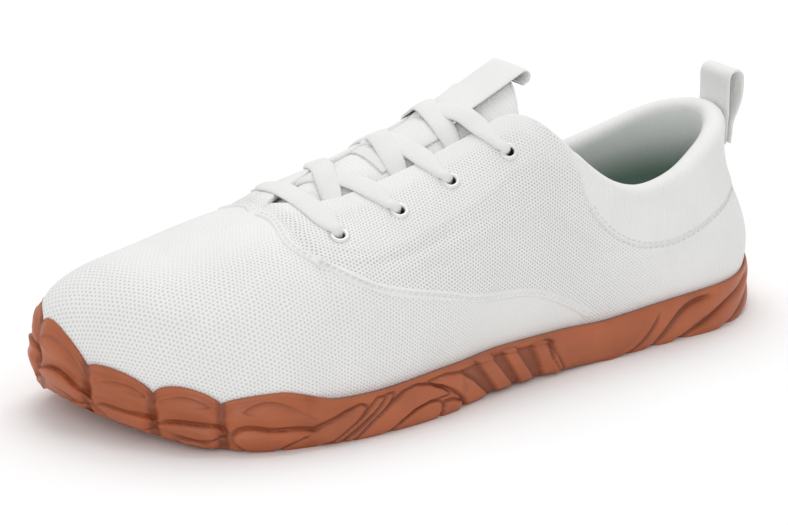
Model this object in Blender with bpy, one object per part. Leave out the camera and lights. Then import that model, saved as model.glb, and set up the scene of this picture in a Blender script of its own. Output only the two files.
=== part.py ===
"""Barefoot shoe, left foot: gum cup sole, one-piece knit upper, tongue, flat lace, two tape loops.

Metres, +Z up. Heel towards +Y, toe towards -Y, outer (lateral) side towards +X.
The origin is on the floor under the middle of the shoe's box.
"""
import math

import bpy
import bmesh
import numpy as np
from mathutils import Vector
from mathutils.bvhtree import BVHTree

MM = 0.001

# Driving sizes of the last and the sole
LENGTH = 282 * MM            # sole, heel to toe
BALL_WIDTH = 106 * MM        # sole across the ball
INSTEP_HEIGHT = 92 * MM      # floor to the top corner of the throat
COLLAR_HEIGHT = 77 * MM      # floor to the collar's crest at the heel
TOE_HEIGHT = 60 * MM         # floor to the ridge over the toe joints
TOE_SPRING = 12 * MM         # clearance under the tip of the toe
HEEL_LIFT = 3 * MM           # clearance under the very back
ARCH_LIFT = 1.2 * MM         # clearance under the waist
SOLE_THICKNESS = 7.5 * MM    # floor to footbed
LUG_DEPTH = 1.6 * MM         # depth of the grooves between lugs
SIDE_HEIGHT = 17 * MM        # sole's side wall, bottom edge to rim
LOBE_RISE = 5 * MM           # how far each toe lobe swells above that
RIB_DEPTH = 2.2 * MM         # relief of the ribs on the sole's side
UPPER_INSET = 6.0 * MM       # sole's outline to the upper's lower edge
WALL = 2.2 * MM              # knit with its lining
COLLAR_PAD = 8 * MM          # padded wall at the ankle
TONGUE_THICKNESS = 4.5 * MM
TONGUE_RISE = 7 * MM         # tongue's top edge past the throat's corner
TONGUE_CROWN = 4.5 * MM      # how far it swells up between the eyestays
INSOLE_THICKNESS = 3.2 * MM
TAB_WIDTH = 20 * MM          # tongue's pull tab
LOOP_WIDTH = 17.5 * MM       # heel loop
TAPE_THICKNESS = 1.3 * MM
LOOP_HEIGHT = 12.5 * MM        # heel loop above the collar's crest
LOOP_DEPTH = 4.9 * MM        # opening of the heel loop, front to back
TAB_REACH = 5.5 * MM        # tongue tab past the tongue's top edge
LACE_WIDTH = 8 * MM
LACE_THICKNESS = 1.4 * MM
EYELET_RADIUS = 3.4 * MM
EYELET_HOLE = 1.7 * MM
EYELET_BARREL = 2.2 * MM
SEAM_WIDTH = 3.0 * MM
SEAM_THICKNESS = 0.7 * MM
GAP = 0.35 * MM              # between pieces that touch

# Mesh density: ribs all round the shoe, twice as many columns on the sole
RIBS = 80
COLUMNS = 2 * RIBS

# Outline of the sole seen from above, from the heel round by the outer side.
# along: share of LENGTH from the heel; across: share of BALL_WIDTH, outer side positive
OUTLINE = [
    (0.000, 0.000), (0.030, 0.190), (0.100, 0.322), (0.180, 0.352), (0.280, 0.365),
    (0.390, 0.388), (0.500, 0.432), (0.610, 0.492), (0.720, 0.500), (0.800, 0.470),
    (0.865, 0.395), (0.920, 0.265), (0.964, 0.090), (0.993, -0.080), (1.003, -0.240),
    (0.988, -0.375), (0.946, -0.455), (0.880, -0.492), (0.790, -0.506), (0.690, -0.492),
    (0.590, -0.445), (0.480, -0.378), (0.350, -0.342), (0.230, -0.345), (0.110, -0.312),
    (0.032, -0.190),
]

# The shoe is laid out round a spine: rays from a heel pole, cross sections between
# the poles, and rays from a toe pole. A station runs 0 at the heel to 1 at the toe.
HEEL_POLE = (0.135, 0.000)      # along, across
TOE_POLE = (0.850, -0.080)
HEEL_STATION = 0.175            # stations used by the heel's quarter turn
TOE_STATION = 0.775             # station where the toe's quarter turn starts

# Collar crest. Heights are shares of COLLAR_HEIGHT.
# station, along, outer across, outer height, inner across, inner height
COLLAR = [
    (0.000, 0.062, 0.000, 1.000, 0.000, 1.000),
    (0.060, 0.071, 0.085, 0.985, -0.085, 0.990),
    (0.120, 0.102, 0.170, 0.940, -0.170, 0.950),
    (0.175, 0.145, 0.226, 0.880, -0.226, 0.880),
    (0.220, 0.186, 0.255, 0.812, -0.255, 0.818),
    (0.270, 0.238, 0.269, 0.779, -0.274, 0.785),
]
# Front of the collar and edge of the throat. Heights are shares of INSTEP_HEIGHT.
THROAT = [
    (0.320, 0.291, 0.274, 0.723, -0.283, 0.717),
    (0.360, 0.332, 0.264, 0.826, -0.283, 0.826),
    (0.395, 0.365, 0.241, 0.913, -0.269, 0.918),
    (0.425, 0.390, 0.189, 0.973, -0.241, 0.989),
    (0.450, 0.413, 0.132, 0.978, -0.193, 0.989),
    (0.475, 0.447, 0.120, 0.940, -0.181, 0.946),
    (0.520, 0.500, 0.112, 0.880, -0.175, 0.886),
    (0.570, 0.571, 0.102, 0.811, -0.168, 0.822),
    (0.610, 0.628, 0.087, 0.766, -0.155, 0.777),
    (0.640, 0.667, 0.058, 0.742, -0.128, 0.751),
]
THROAT_END = 0.665              # station of the throat's lower end

# Ridge of the vamp from the throat's end to the toe pole and on down the toe.
# along, across, height as a share of TOE_HEIGHT
RIDGE = [
    (0.640, -0.040, 1.175), (0.699, -0.040, 1.145), (0.770, -0.057, 1.045),
    (0.850, -0.080, 0.950), (0.900, -0.090, 0.890),
]

# How each rib leaves the sole and arrives at the top.
# station, outward lean in degrees, lower handle as a share of the rise, upper handle
# on the outer and on the inner side as a share of the way in, slope at the top in degrees
RIBS_SHAPE = [
    (0.000, 24, 0.50, 0.42, 0.42, 98),
    (0.100, 19, 0.47, 0.42, 0.42, 93),
    (0.175, 11, 0.42, 0.40, 0.40, 86),
    (0.270, 9, 0.42, 0.40, 0.40, 80),
    (0.350, 8, 0.45, 0.35, 0.35, 72),
    (0.420, 8, 0.50, 0.35, 0.33, 50),
    (0.475, 8, 0.52, 0.42, 0.38, 34),
    (0.570, 8, 0.55, 0.45, 0.38, 26),
    (0.640, 9, 0.58, 0.50, 0.40, 12),
    (0.690, 10, 0.62, 0.52, 0.46, 0),
    (0.775, 12, 0.65, 0.55, 0.52, 0),
    (0.880, 14, 0.67, 0.55, 0.57, 0),
    (1.000, 14, 0.68, 0.56, 0.58, 0),
]


def smoothstep(low, high, value):
    share = np.clip((np.asarray(value, float) - low) / (high - low), 0, 1)
    return share * share * (3 - 2 * share)


def unit(vectors):
    return vectors / np.maximum(np.linalg.norm(vectors, axis=-1, keepdims=True), 1e-12)


def spline(knots, values, at, period=None):
    """Cubic spline through values at knots: natural at its ends, or closed over a period."""
    x = np.asarray(knots, float)
    y = np.asarray(values, float)
    if period is not None:
        x = np.append(x, x[0] + period)
        y = np.concatenate([y, y[:1]])
    spans = len(x) - 1
    step = np.diff(x)
    slope = (np.diff(y, axis=0).T / step).T
    size = spans if period is not None else spans + 1
    matrix = np.zeros((size, size))
    right = np.zeros((size,) + y.shape[1:])
    for i in range(size):
        if period is None and i in (0, spans):
            matrix[i, i] = 1.0
            continue
        before, after = step[i - 1], step[i % spans]
        matrix[i, (i - 1) % size] += before
        matrix[i, i] += 2 * (before + after)
        matrix[i, (i + 1) % size] += after
        right[i] = 6 * (slope[i % spans] - slope[i - 1])
    bend = np.linalg.solve(matrix, right)
    if period is not None:
        bend = np.concatenate([bend, bend[:1]])
    at = np.asarray(at, float)
    if period is not None:
        at = x[0] + np.mod(at - x[0], period)
    k = np.clip(np.searchsorted(x, at, side="right") - 1, 0, spans - 1)
    near = at - x[k]
    width = step[k]
    if y.ndim > 1:
        near, width = near[..., None], width[..., None]
    far = width - near
    curve = (bend[k] * far**3 + bend[k + 1] * near**3) / (6 * width)
    line_start = (y[k] / width - bend[k] * width / 6) * far
    line_end = (y[k + 1] / width - bend[k + 1] * width / 6) * near
    return curve + line_start + line_end


def along_to_y(along):
    return LENGTH / 2 - np.asarray(along, float) * LENGTH


# The sole's outline as a dense closed loop, with the station of each of its points
outline_rows = np.array(OUTLINE)
outline_knots = np.stack([outline_rows[:, 1] * BALL_WIDTH, along_to_y(outline_rows[:, 0])], 1)
knot_gaps = np.linalg.norm(np.diff(np.vstack([outline_knots, outline_knots[:1]]), axis=0), axis=1)
knot_arcs = np.append(0, np.cumsum(knot_gaps))
DENSE = 2400
dense = spline(knot_arcs[:-1], outline_knots, np.linspace(0, knot_arcs[-1], DENSE, endpoint=False), knot_arcs[-1])
dense_normal = np.roll(dense, -1, 0) - np.roll(dense, 1, 0)
dense_normal = unit(np.stack([-dense_normal[:, 1], dense_normal[:, 0]], 1))

heel_pole = np.array([HEEL_POLE[1] * BALL_WIDTH, along_to_y(HEEL_POLE[0])])
toe_pole = np.array([TOE_POLE[1] * BALL_WIDTH, along_to_y(TOE_POLE[0])])


def spine_x(y):
    share = (heel_pole[1] - y) / (heel_pole[1] - toe_pole[1])
    return heel_pole[0] + (toe_pole[0] - heel_pole[0]) * np.clip(share, 0, 1)


def station_of(points):
    """Station of outline points, 0..1 on the outer side and 1..2 back along the inner side."""
    x, y = points[:, 0], points[:, 1]
    out = x - spine_x(y)
    heel_turn = 1 - np.arctan2(y - heel_pole[1], np.abs(out)) / (math.pi / 2)
    toe_turn = np.arctan2(toe_pole[1] - y, np.abs(out)) / (math.pi / 2)
    middle = (heel_pole[1] - y) / (heel_pole[1] - toe_pole[1])
    station = HEEL_STATION + (TOE_STATION - HEEL_STATION) * np.clip(middle, 0, 1)
    station = np.where(y > heel_pole[1], HEEL_STATION * heel_turn, station)
    station = np.where(y < toe_pole[1], TOE_STATION + (1 - TOE_STATION) * toe_turn, station)
    return np.where(out >= 0, station, 2 - station)


dense_station = station_of(dense)
start = int(np.argmin(np.where(dense_station < 1, dense_station, 9)))
dense = np.roll(dense, -start, 0)
dense_normal = np.roll(dense_normal, -start, 0)
dense_station = np.roll(dense_station, -start)
loop_station = np.concatenate([dense_station - 2, dense_station, dense_station + 2])
loop_point = np.concatenate([dense, dense, dense])
loop_normal = np.concatenate([dense_normal, dense_normal, dense_normal])


def outline(station, inset=0.0):
    """Points of the outline moved inwards, and its outward normals, at stations 0..2."""
    station = np.asarray(station, float)
    point = np.stack([np.interp(station, loop_station, loop_point[:, k]) for k in (0, 1)], -1)
    normal = unit(np.stack([np.interp(station, loop_station, loop_normal[:, k]) for k in (0, 1)], -1))
    return point - np.asarray(inset)[..., None] * normal, normal


def floor_clearance(y):
    """Height of the sole's underside: heel lift, arch and toe spring, flat between."""
    along = 0.5 - np.asarray(y, float) / LENGTH
    toe = TOE_SPRING * np.clip((along - 0.74) / 0.26, 0, None) ** 3
    heel = HEEL_LIFT * np.clip((0.08 - along) / 0.08, 0, None) ** 1.5
    arch = ARCH_LIFT * smoothstep(0.30, 0.38, along) * (1 - smoothstep(0.48, 0.56, along))
    return toe + heel + arch


def both_sides(rows, outer, inner):
    """Spline knots for a column over stations -1..1: inner side negative, outer side positive."""
    table = np.array(rows, float)
    knots = np.concatenate([-table[:0:-1, 0], table[:, 0]])
    values = np.concatenate([table[:0:-1, inner], table[:, outer]])
    return knots, values


def signed(station):
    """Station 0..2 as -1..1, with the inner side negative."""
    station = np.mod(np.asarray(station, float), 2)
    return np.where(station > 1, station - 2, station)


def ridge(y):
    table = np.array(RIDGE)
    along = 0.5 - np.asarray(y, float) / LENGTH
    across = spline(table[:, 0], table[:, 1] * BALL_WIDTH, along)
    height = spline(table[:, 0], table[:, 2] * TOE_HEIGHT, along)
    return across, height


throat_end_y = along_to_y(
    HEEL_POLE[0]
    + (TOE_POLE[0] - HEEL_POLE[0]) * (THROAT_END - HEEL_STATION) / (TOE_STATION - HEEL_STATION)
)


def top_line(station):
    """Crest of the collar and throat, then the vamp's ridge, then the toe pole."""
    side = signed(station)
    rows = [list(row) for row in COLLAR + THROAT]
    for row in rows[: len(COLLAR)]:
        row[3] *= COLLAR_HEIGHT
        row[5] *= COLLAR_HEIGHT
    for row in rows[len(COLLAR):]:
        row[3] *= INSTEP_HEIGHT
        row[5] *= INSTEP_HEIGHT
    end_x, end_z = ridge(throat_end_y)
    end = [THROAT_END, 0.5 - throat_end_y / LENGTH, end_x / BALL_WIDTH, end_z, end_x / BALL_WIDTH, end_z]
    rows.append(end)
    open_side = np.clip(side, -THROAT_END, THROAT_END)
    knots, along = both_sides(rows, 1, 1)
    x = spline(knots, both_sides(rows, 2, 4)[1] * BALL_WIDTH, open_side)
    y = spline(knots, along_to_y(along), open_side)
    z = spline(knots, both_sides(rows, 3, 5)[1], open_side)
    reach = np.clip(np.abs(side), THROAT_END, TOE_STATION)
    ridge_y = throat_end_y + (toe_pole[1] - throat_end_y) * (reach - THROAT_END) / (TOE_STATION - THROAT_END)
    ridge_x, ridge_z = ridge(ridge_y)
    closed = np.abs(side) >= THROAT_END
    return np.stack([np.where(closed, ridge_x, x), np.where(closed, ridge_y, y), np.where(closed, ridge_z, z)], -1)


def shape_column(station, outer, inner=None):
    knots, values = both_sides(RIBS_SHAPE, outer, outer if inner is None else inner)
    return spline(knots, values, signed(station))


def wall_thickness(station, rise):
    """Knit wall, growing into the padded collar towards its crest."""
    ankle = 1 - smoothstep(0.34, 0.42, np.abs(signed(station)))
    return WALL + (COLLAR_PAD - WALL) * ankle * smoothstep(0.45, 0.95, rise)


def rib_handles(station):
    """Cubic Bezier handles of the upper's outer face at each station."""
    feather, outward = outline(station, np.full(np.shape(station), UPPER_INSET))
    base = SOLE_THICKNESS + GAP + floor_clearance(feather[..., 1])
    start = np.concatenate([feather, base[..., None]], -1)
    crest = top_line(station)
    inward = unit(crest[..., :2] - start[..., :2])
    slope = np.radians(shape_column(station, 5))
    fall = (ridge(toe_pole[1] + MM)[1] - ridge(toe_pole[1] - MM)[1]) / (2 * MM)
    at_toe = smoothstep(0.66, TOE_STATION, np.abs(signed(station)))
    sag = fall * inward[..., 1] * at_toe
    arrive = unit(np.concatenate([inward * np.cos(slope)[..., None], (np.sin(slope) + sag)[..., None]], -1))
    face = unit(np.concatenate([-inward * np.sin(slope)[..., None], np.cos(slope)[..., None]], -1))
    half = wall_thickness(station, 1.0)[..., None] / 2
    is_open = (np.abs(signed(station)) < THROAT_END)[..., None]
    end = np.where(is_open, crest + half * face - half * arrive, crest)
    lean = np.radians(shape_column(station, 1))
    leave = np.concatenate([outward * np.sin(lean)[..., None], np.cos(lean)[..., None]], -1)
    rise = (end[..., 2] - start[..., 2])[..., None]
    way_in = np.linalg.norm(end - start, axis=-1, keepdims=True)
    lower = start + leave * rise * shape_column(station, 2)[..., None]
    upper = end - arrive * way_in * shape_column(station, 3, 4)[..., None]
    return start, lower, upper, end


def upper_point(station, rise):
    """Outer face of the upper: rise runs 0 at the sole to 1 at the collar, throat or ridge."""
    station, rise = np.broadcast_arrays(np.asarray(station, float), np.asarray(rise, float))
    start, lower, upper, end = rib_handles(station)
    t = rise[..., None]
    s = 1 - t
    return s**3 * start + 3 * s * s * t * lower + 3 * s * t * t * upper + t**3 * end


def upper_normal(station, rise):
    step = 0.004
    rise = np.clip(rise, step, 0.985)
    round_shoe = upper_point(station + step, rise) - upper_point(station - step, rise)
    up = upper_point(station, rise + step) - upper_point(station, rise - step)
    return unit(np.cross(up, round_shoe))


def upper_offset(station, rise, distance):
    """Point at a distance outside (or, negative, inside) the upper's outer face."""
    station, rise = np.broadcast_arrays(np.asarray(station, float), np.asarray(rise, float))
    return upper_point(station, rise) + upper_normal(station, rise) * np.asarray(distance)[..., None]


def rise_at_height(station, height):
    """Rise at which the upper's outer face reaches a height, near the sole."""
    rises = np.linspace(0, 0.6, 61)
    heights = upper_point(np.asarray(station)[:, None], rises[None, :])[..., 2]
    return np.array([np.interp(h, column, rises) for h, column in zip(height, heights)])


# Objects and materials

def material(name, colour, roughness, metallic=0.0):
    made = bpy.data.materials.new(name)
    made.use_nodes = True
    shader = made.node_tree.nodes["Principled BSDF"]
    shader.inputs["Base Color"].default_value = (*colour, 1.0)
    shader.inputs["Roughness"].default_value = roughness
    shader.inputs["Metallic"].default_value = metallic
    return made


def add_mesh(name, points, faces, finish):
    """One closed body from points and faces, its doubled corners dropped, facing outwards."""
    mesh = bpy.data.meshes.new(name)
    clean = []
    for face in faces:
        corners = [c for k, c in enumerate(face) if c != face[k - 1]]
        if len(set(corners)) > 2:
            clean.append(corners)
    mesh.from_pydata([tuple(map(float, p)) for p in points], [], clean)
    work = bmesh.new()
    work.from_mesh(mesh)
    bmesh.ops.delete(work, geom=[v for v in work.verts if not v.link_faces], context="VERTS")
    bmesh.ops.triangulate(work, faces=work.faces[:])
    bmesh.ops.recalc_face_normals(work, faces=work.faces[:])
    if work.calc_volume(signed=True) < 0:
        bmesh.ops.reverse_faces(work, faces=work.faces[:])
    work.to_mesh(mesh)
    work.free()
    thing = bpy.data.objects.new(name, mesh)
    bpy.context.scene.collection.objects.link(thing)
    mesh.materials.append(finish)
    mesh.shade_smooth()
    mesh.set_sharp_from_angle(angle=math.radians(40))
    return thing


def tape_mesh(name, centres, normals, width, thickness, finish, ends=(1.0, 1.0)):
    """Flat tape along a path: each section is a flat oval across the path."""
    centres = np.asarray(centres, float)
    normals = unit(np.asarray(normals, float))
    travel = unit(np.gradient(centres, axis=0))
    across = unit(np.cross(travel, normals))
    normals = unit(np.cross(across, travel))
    section = [(-0.5, -0.15), (-0.42, -0.5), (0.42, -0.5), (0.5, -0.15), (0.5, 0.15), (0.42, 0.5), (-0.42, 0.5), (-0.5, 0.15)]
    share = np.linspace(0, 1, len(centres))
    widths = width * np.interp(share, [0, 0.15, 0.85, 1], [ends[0], 1, 1, ends[1]])
    points = []
    for centre, side, face, wide in zip(centres, across, normals, widths):
        points += [centre + side * u * wide + face * v * thickness for u, v in section]
    count = len(section)
    faces = []
    for i in range(len(centres) - 1):
        for k in range(count):
            a, b = i * count + k, i * count + (k + 1) % count
            faces.append([a, b, b + count, a + count])
    faces.append(list(range(count)))
    faces.append([len(points) - 1 - k for k in range(count)])
    return add_mesh(name, points, faces, finish)


def stand_off(tree, points, outward, distance):
    """Points moved along their outward directions until they stand off a mesh by a distance."""
    moved = []
    for point, way in zip(points, outward):
        hit = tree.ray_cast(Vector(point + way * 10 * MM), Vector(-way), 30 * MM)[0]
        moved.append(point if hit is None else np.array(hit) + way * distance)
    return np.array(moved)


# The upper

OUTER_RISES = [0, 0.07, 0.15, 0.24, 0.35, 0.47, 0.59, 0.71, 0.82, 0.91, 1.0]
INNER_RISES = [0, 0.15, 0.35, 0.55, 0.70, 0.80, 0.90, 1.0]
RIM_TURNS = [45, 90, 135]


def make_upper(finish):
    """Outer face, rolled rim round collar and throat, inner face, and the open lower edge."""
    half = RIBS // 2
    stations = 2 * np.arange(RIBS) / RIBS
    closed_from = int(math.ceil(THROAT_END * half))
    pole_from = int(round(TOE_STATION * half))
    points = []
    index = {}

    def shared(i, row, top):
        """Ribs share their top point along the ridge, and at the toe pole."""
        i = i % RIBS
        mirror = min(i, RIBS - i)
        if row == top and mirror >= closed_from:
            return min(mirror, pole_from)
        return i

    def add(key, point):
        index[key] = len(points)
        points.append(point)

    def layer(name, rises, distance_of):
        top = len(rises) - 1
        grid = upper_point(stations[:, None], np.array(rises)[None, :])
        normal = upper_normal(stations[:, None] * np.ones(len(rises)), np.array(rises)[None, :] * np.ones((RIBS, 1)))
        depth = distance_of(stations[:, None], np.array(rises)[None, :])
        for i in range(RIBS):
            mirror = min(i, RIBS - i)
            for row in range(top + 1):
                if shared(i, row, top) != i:
                    continue
                face = normal[i, row]
                if row == top and mirror >= pole_from:
                    face = unit(normal[pole_from:RIBS - pole_from + 1, row].mean(0))
                elif row == top and mirror >= closed_from:
                    face = unit(normal[i, row] + normal[RIBS - i, row])
                add((name, i, row), grid[i, row] - face * depth[i, row])
        return top

    outer_top = layer("outer", OUTER_RISES, lambda s, r: 0 * s * r)
    inner_top = layer("inner", INNER_RISES, lambda s, r: wall_thickness(s, r))

    def vertex(name, i, row):
        top = outer_top if name == "outer" else inner_top
        return index[(name, shared(i, row, top), row)]

    faces = []
    for i in range(RIBS):
        for name, top in (("outer", outer_top), ("inner", inner_top)):
            for row in range(top):
                quad = [vertex(name, i, row), vertex(name, i + 1, row), vertex(name, i + 1, row + 1), vertex(name, i, row + 1)]
                faces.append(quad if name == "outer" else quad[::-1])
        faces.append([vertex("inner", i, 0), vertex("inner", i + 1, 0), vertex("outer", i + 1, 0), vertex("outer", i, 0)])

    # The rim runs round the collar and the throat, past the throat's end on the ridge
    rim = list(range(0, closed_from)) + [closed_from] + list(range(RIBS - closed_from + 1, RIBS))
    stations_rim = stations[rim]
    travel = upper_point(stations_rim, 1.0) - upper_point(stations_rim, 0.97)
    travel = unit(travel)
    travel[closed_from] = (0, 1, 0)
    for k, i in enumerate(rim):
        outer = points[vertex("outer", i, outer_top)]
        inner = points[vertex("inner", i, inner_top)]
        middle, arm = (outer + inner) / 2, (outer - inner) / 2
        reach = np.linalg.norm(arm) * travel[k]
        for turn, degrees in enumerate(RIM_TURNS):
            angle = math.radians(degrees)
            add(("rim", i, turn), middle + arm * math.cos(angle) + reach * math.sin(angle))
    for k, i in enumerate(rim):
        j = rim[(k + 1) % len(rim)]
        ladder_i = [vertex("outer", i, outer_top)] + [index[("rim", i, t)] for t in range(3)] + [vertex("inner", i, inner_top)]
        ladder_j = [vertex("outer", j, outer_top)] + [index[("rim", j, t)] for t in range(3)] + [vertex("inner", j, inner_top)]
        for t in range(4):
            faces.append([ladder_i[t], ladder_j[t], ladder_j[t + 1], ladder_i[t + 1]])
    return add_mesh("upper", points, faces, finish)


# The sole

# Rim of the sole above its bottom edge, round the whole shoe: station, share of SIDE_HEIGHT
SIDE_HEIGHTS = [
    (0.000, 0.98), (0.150, 1.00), (0.240, 0.94), (0.320, 0.85), (0.400, 0.86), (0.480, 0.92),
    (0.560, 0.93), (0.640, 0.90), (0.700, 0.92), (0.795, 0.92), (0.870, 0.88), (0.970, 0.96),
    (1.055, 1.25), (1.120, 1.30), (1.190, 1.00), (1.280, 0.92), (1.440, 0.94), (1.560, 0.92),
    (1.680, 0.90), (1.850, 1.00),
]

# Toe lobes, from the outer forefoot round the tip to the big toe:
# station where each starts and ends, its swelling upwards as a share of LOBE_RISE
LOBES = [
    (0.690, 0.795, 0.9), (0.795, 0.870, 0.9), (0.870, 0.970, 0.9), (0.970, 1.055, 0.9), (1.055, 1.190, 1.0),
]

# Slanting ribs of the side: station of the foot, station of the head, width as a station span
SIDE_RIBS = [
    (0.000, 0.000, 0.040), (0.075, 0.030, 0.030), (0.130, 0.085, 0.032), (0.200, 0.150, 0.038),
    (0.285, 0.225, 0.044),
    (0.392, 0.412, 0.016), (0.420, 0.445, 0.022), (0.455, 0.482, 0.024), (0.492, 0.515, 0.024),
    (0.580, 0.540, 0.036), (0.630, 0.590, 0.034), (0.685, 0.640, 0.030),
]

# Section of the side: share of its height, inset from the outline in millimetres along the
# foot, at the toe lobes and at the big toe's lobe, and how deep the grooves between lobes are
SIDE_PROFILE = [
    (0.00, 1.8, 2.0, 4.2, 0.5), (0.08, 0.5, 0.5, 2.2, 0.9), (0.20, 0.0, 0.0, 1.2, 1.0),
    (0.34, 0.0, 0.4, 1.0, 1.0), (0.41, 0.1, 2.4, 2.8, 0.6), (0.48, 0.1, 1.0, 1.4, 1.0),
    (0.64, 0.0, 0.0, 0.6, 1.0), (0.80, 0.2, 0.6, 1.6, 1.0), (0.93, 0.9, 1.8, 3.4, 0.8),
    (1.00, 2.0, 3.2, 5.0, 0.4),
]
LOBE_SWELL = 3.2 * MM        # how far a lobe stands out between its end grooves
RIM_THICKNESS = 1.0 * MM     # least rubber between the upper and the side's face


def side_height(station):
    """Height of the sole's rim above its bottom edge, without the lobes' swelling."""
    table = np.array(SIDE_HEIGHTS)
    return SIDE_HEIGHT * spline(table[:, 0], table[:, 1], np.mod(station, 2), 2.0)


def lobe_crown(station):
    """0 at the groove between two toe lobes and 1 on a crown, its rise, and where lobes are."""
    station = np.mod(station, 2)
    crown = np.zeros(station.shape)
    rise = np.zeros(station.shape)
    has_lobes = (station >= LOBES[0][0]) & (station <= LOBES[-1][1])
    for start, end, swelling in LOBES:
        inside = (station >= start) & (station < end)
        bow = np.sin(math.pi * np.clip((station - start) / (end - start), 0, 1)) ** 0.5
        crown = np.where(inside, bow, crown)
        rise = np.where(inside, bow * swelling * LOBE_RISE, rise)
    return crown, rise, has_lobes


def rib_relief(station, height):
    """How proud the slanting ribs are, 0..1, at a share of the side's height."""
    away = np.abs(signed(station))
    relief = np.zeros(np.broadcast(away, height).shape)
    for foot, head, width in SIDE_RIBS:
        middle = foot + (head - foot) * height
        relief = np.maximum(relief, 1 - smoothstep(width * 0.25, width * 0.50, np.abs(away - middle)))
    return relief * smoothstep(0.0, 0.12, height) * (1 - smoothstep(0.84, 0.98, height))


def make_outsole(upper_tree, finish):
    """Cup sole: bottom, side with lobes and ribs, rim, inner wall and footbed."""
    stations = 2 * np.arange(COLUMNS) / COLUMNS
    half = COLUMNS // 2
    crown, rise, has_lobes = lobe_crown(stations)
    height = side_height(stations) + rise
    big_toe = smoothstep(1.02, 1.08, stations) * (1 - smoothstep(1.16, 1.20, stations))
    outward = outline(stations)[1]

    def inner_wall(level):
        wall = upper_point(stations, rise_at_height(stations, level))
        wall[:, 2] = level
        return stand_off(upper_tree, wall, np.column_stack([outward, np.zeros(COLUMNS)]), 1.3 * GAP)

    footbed = floor_clearance(outline(stations, np.full(COLUMNS, UPPER_INSET))[0][:, 1]) + SOLE_THICKNESS
    rings = []
    for share, side_inset, toe_inset, big_inset, swell in SIDE_PROFILE:
        relief = (1 - rib_relief(stations, share)) * RIB_DEPTH * smoothstep(0, 0.1, share)
        groove = (1 - crown) * LOBE_SWELL * swell
        lobe_inset = (toe_inset + (big_inset - toe_inset) * big_toe) * MM
        inset = np.where(has_lobes, lobe_inset + groove, side_inset * MM + relief)
        plan, _ = outline(stations, inset)
        level = floor_clearance(plan[:, 1]) + share * height
        wall = inner_wall(np.maximum(level, footbed + GAP))
        proud = ((plan - wall[:, :2]) * outward).sum(1)
        plan = plan + outward * np.maximum(0, RIM_THICKNESS - proud)[:, None]
        rings.append(np.column_stack([plan, level]))
    rim_height = rings[-1][:, 2]
    rings.append(inner_wall(rim_height))
    rings.append(inner_wall(rim_height + (footbed - rim_height) * 0.3))
    rings.append(inner_wall(rim_height + (footbed - rim_height) * 0.7))
    foot_ring = inner_wall(footbed + GAP)
    foot_ring[:, 2] = footbed
    rings.append(foot_ring)
    points = [point for ring in rings for point in ring]
    faces = []
    for r in range(len(rings) - 1):
        for i in range(COLUMNS):
            j = (i + 1) % COLUMNS
            faces.append([r * COLUMNS + i, r * COLUMNS + j, (r + 1) * COLUMNS + j, (r + 1) * COLUMNS + i])

    def close_across(ring, shares, level_of, flip):
        """Rows of points from each outer column to its mirror on the inner side."""
        base = ring * COLUMNS
        rows = {0: [base] * (len(shares) + 2), half: [base + half] * (len(shares) + 2)}
        for i in range(1, half):
            a, b = points[base + i], points[base + COLUMNS - i]
            row = [base + i]
            for share in shares:
                spot = a + (b - a) * share
                spot[2] = level_of(i, share, a[2] + (b[2] - a[2]) * share, spot[1])
                row.append(len(points))
                points.append(spot)
            row.append(base + COLUMNS - i)
            rows[i] = row
        for i in range(half):
            for k in range(len(shares) + 1):
                quad = [rows[i][k], rows[i][k + 1], rows[i + 1][k + 1], rows[i + 1][k]]
                faces.append(quad[::-1] if flip else quad)

    def underside(i, share, level, y):
        groove = LUG_DEPTH if (i // 2) % 3 == 0 and 6 < i < half - 6 else 0
        return floor_clearance(y) + groove

    close_across(0, (0.06, 0.50, 0.94), underside, False)
    close_across(len(rings) - 1, (), lambda i, share, level, y: level, True)
    return add_mesh("outsole", points, faces, finish)


def make_insole(finish):
    """Thin footbed inside the upper's wall."""
    half = RIBS // 2
    stations = 2 * np.arange(RIBS) / RIBS
    inset = np.full(RIBS, UPPER_INSET + WALL + GAP + 0.4 * MM)
    plan, _ = outline(stations, inset)
    level = floor_clearance(plan[:, 1]) + SOLE_THICKNESS + GAP
    points = [p for p in np.column_stack([plan, level])]
    points += [p for p in np.column_stack([plan, level + INSOLE_THICKNESS])]
    faces = [[i, (i + 1) % RIBS, RIBS + (i + 1) % RIBS, RIBS + i] for i in range(RIBS)]
    for i in range(half):
        a, b, c, d = i, i + 1, (RIBS - i - 1) % RIBS, (RIBS - i) % RIBS
        faces.append([a, d, c, b])
        faces.append([RIBS + a, RIBS + b, RIBS + c, RIBS + d])
    return add_mesh("insole", points, faces, finish)


# The tongue

# Sections of the tongue: the upper's stations it lies under, and one past its top edge
TONGUE_STATIONS = [0.700, 0.675, 0.650, 0.620, 0.585, 0.550, 0.515, 0.480, 0.450]
TONGUE_SIDE_RISE = 0.80      # how far down the inner face of the upper its sides reach
TONGUE_STEPS = 5             # points under each eyestay, and across the gap between them


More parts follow.
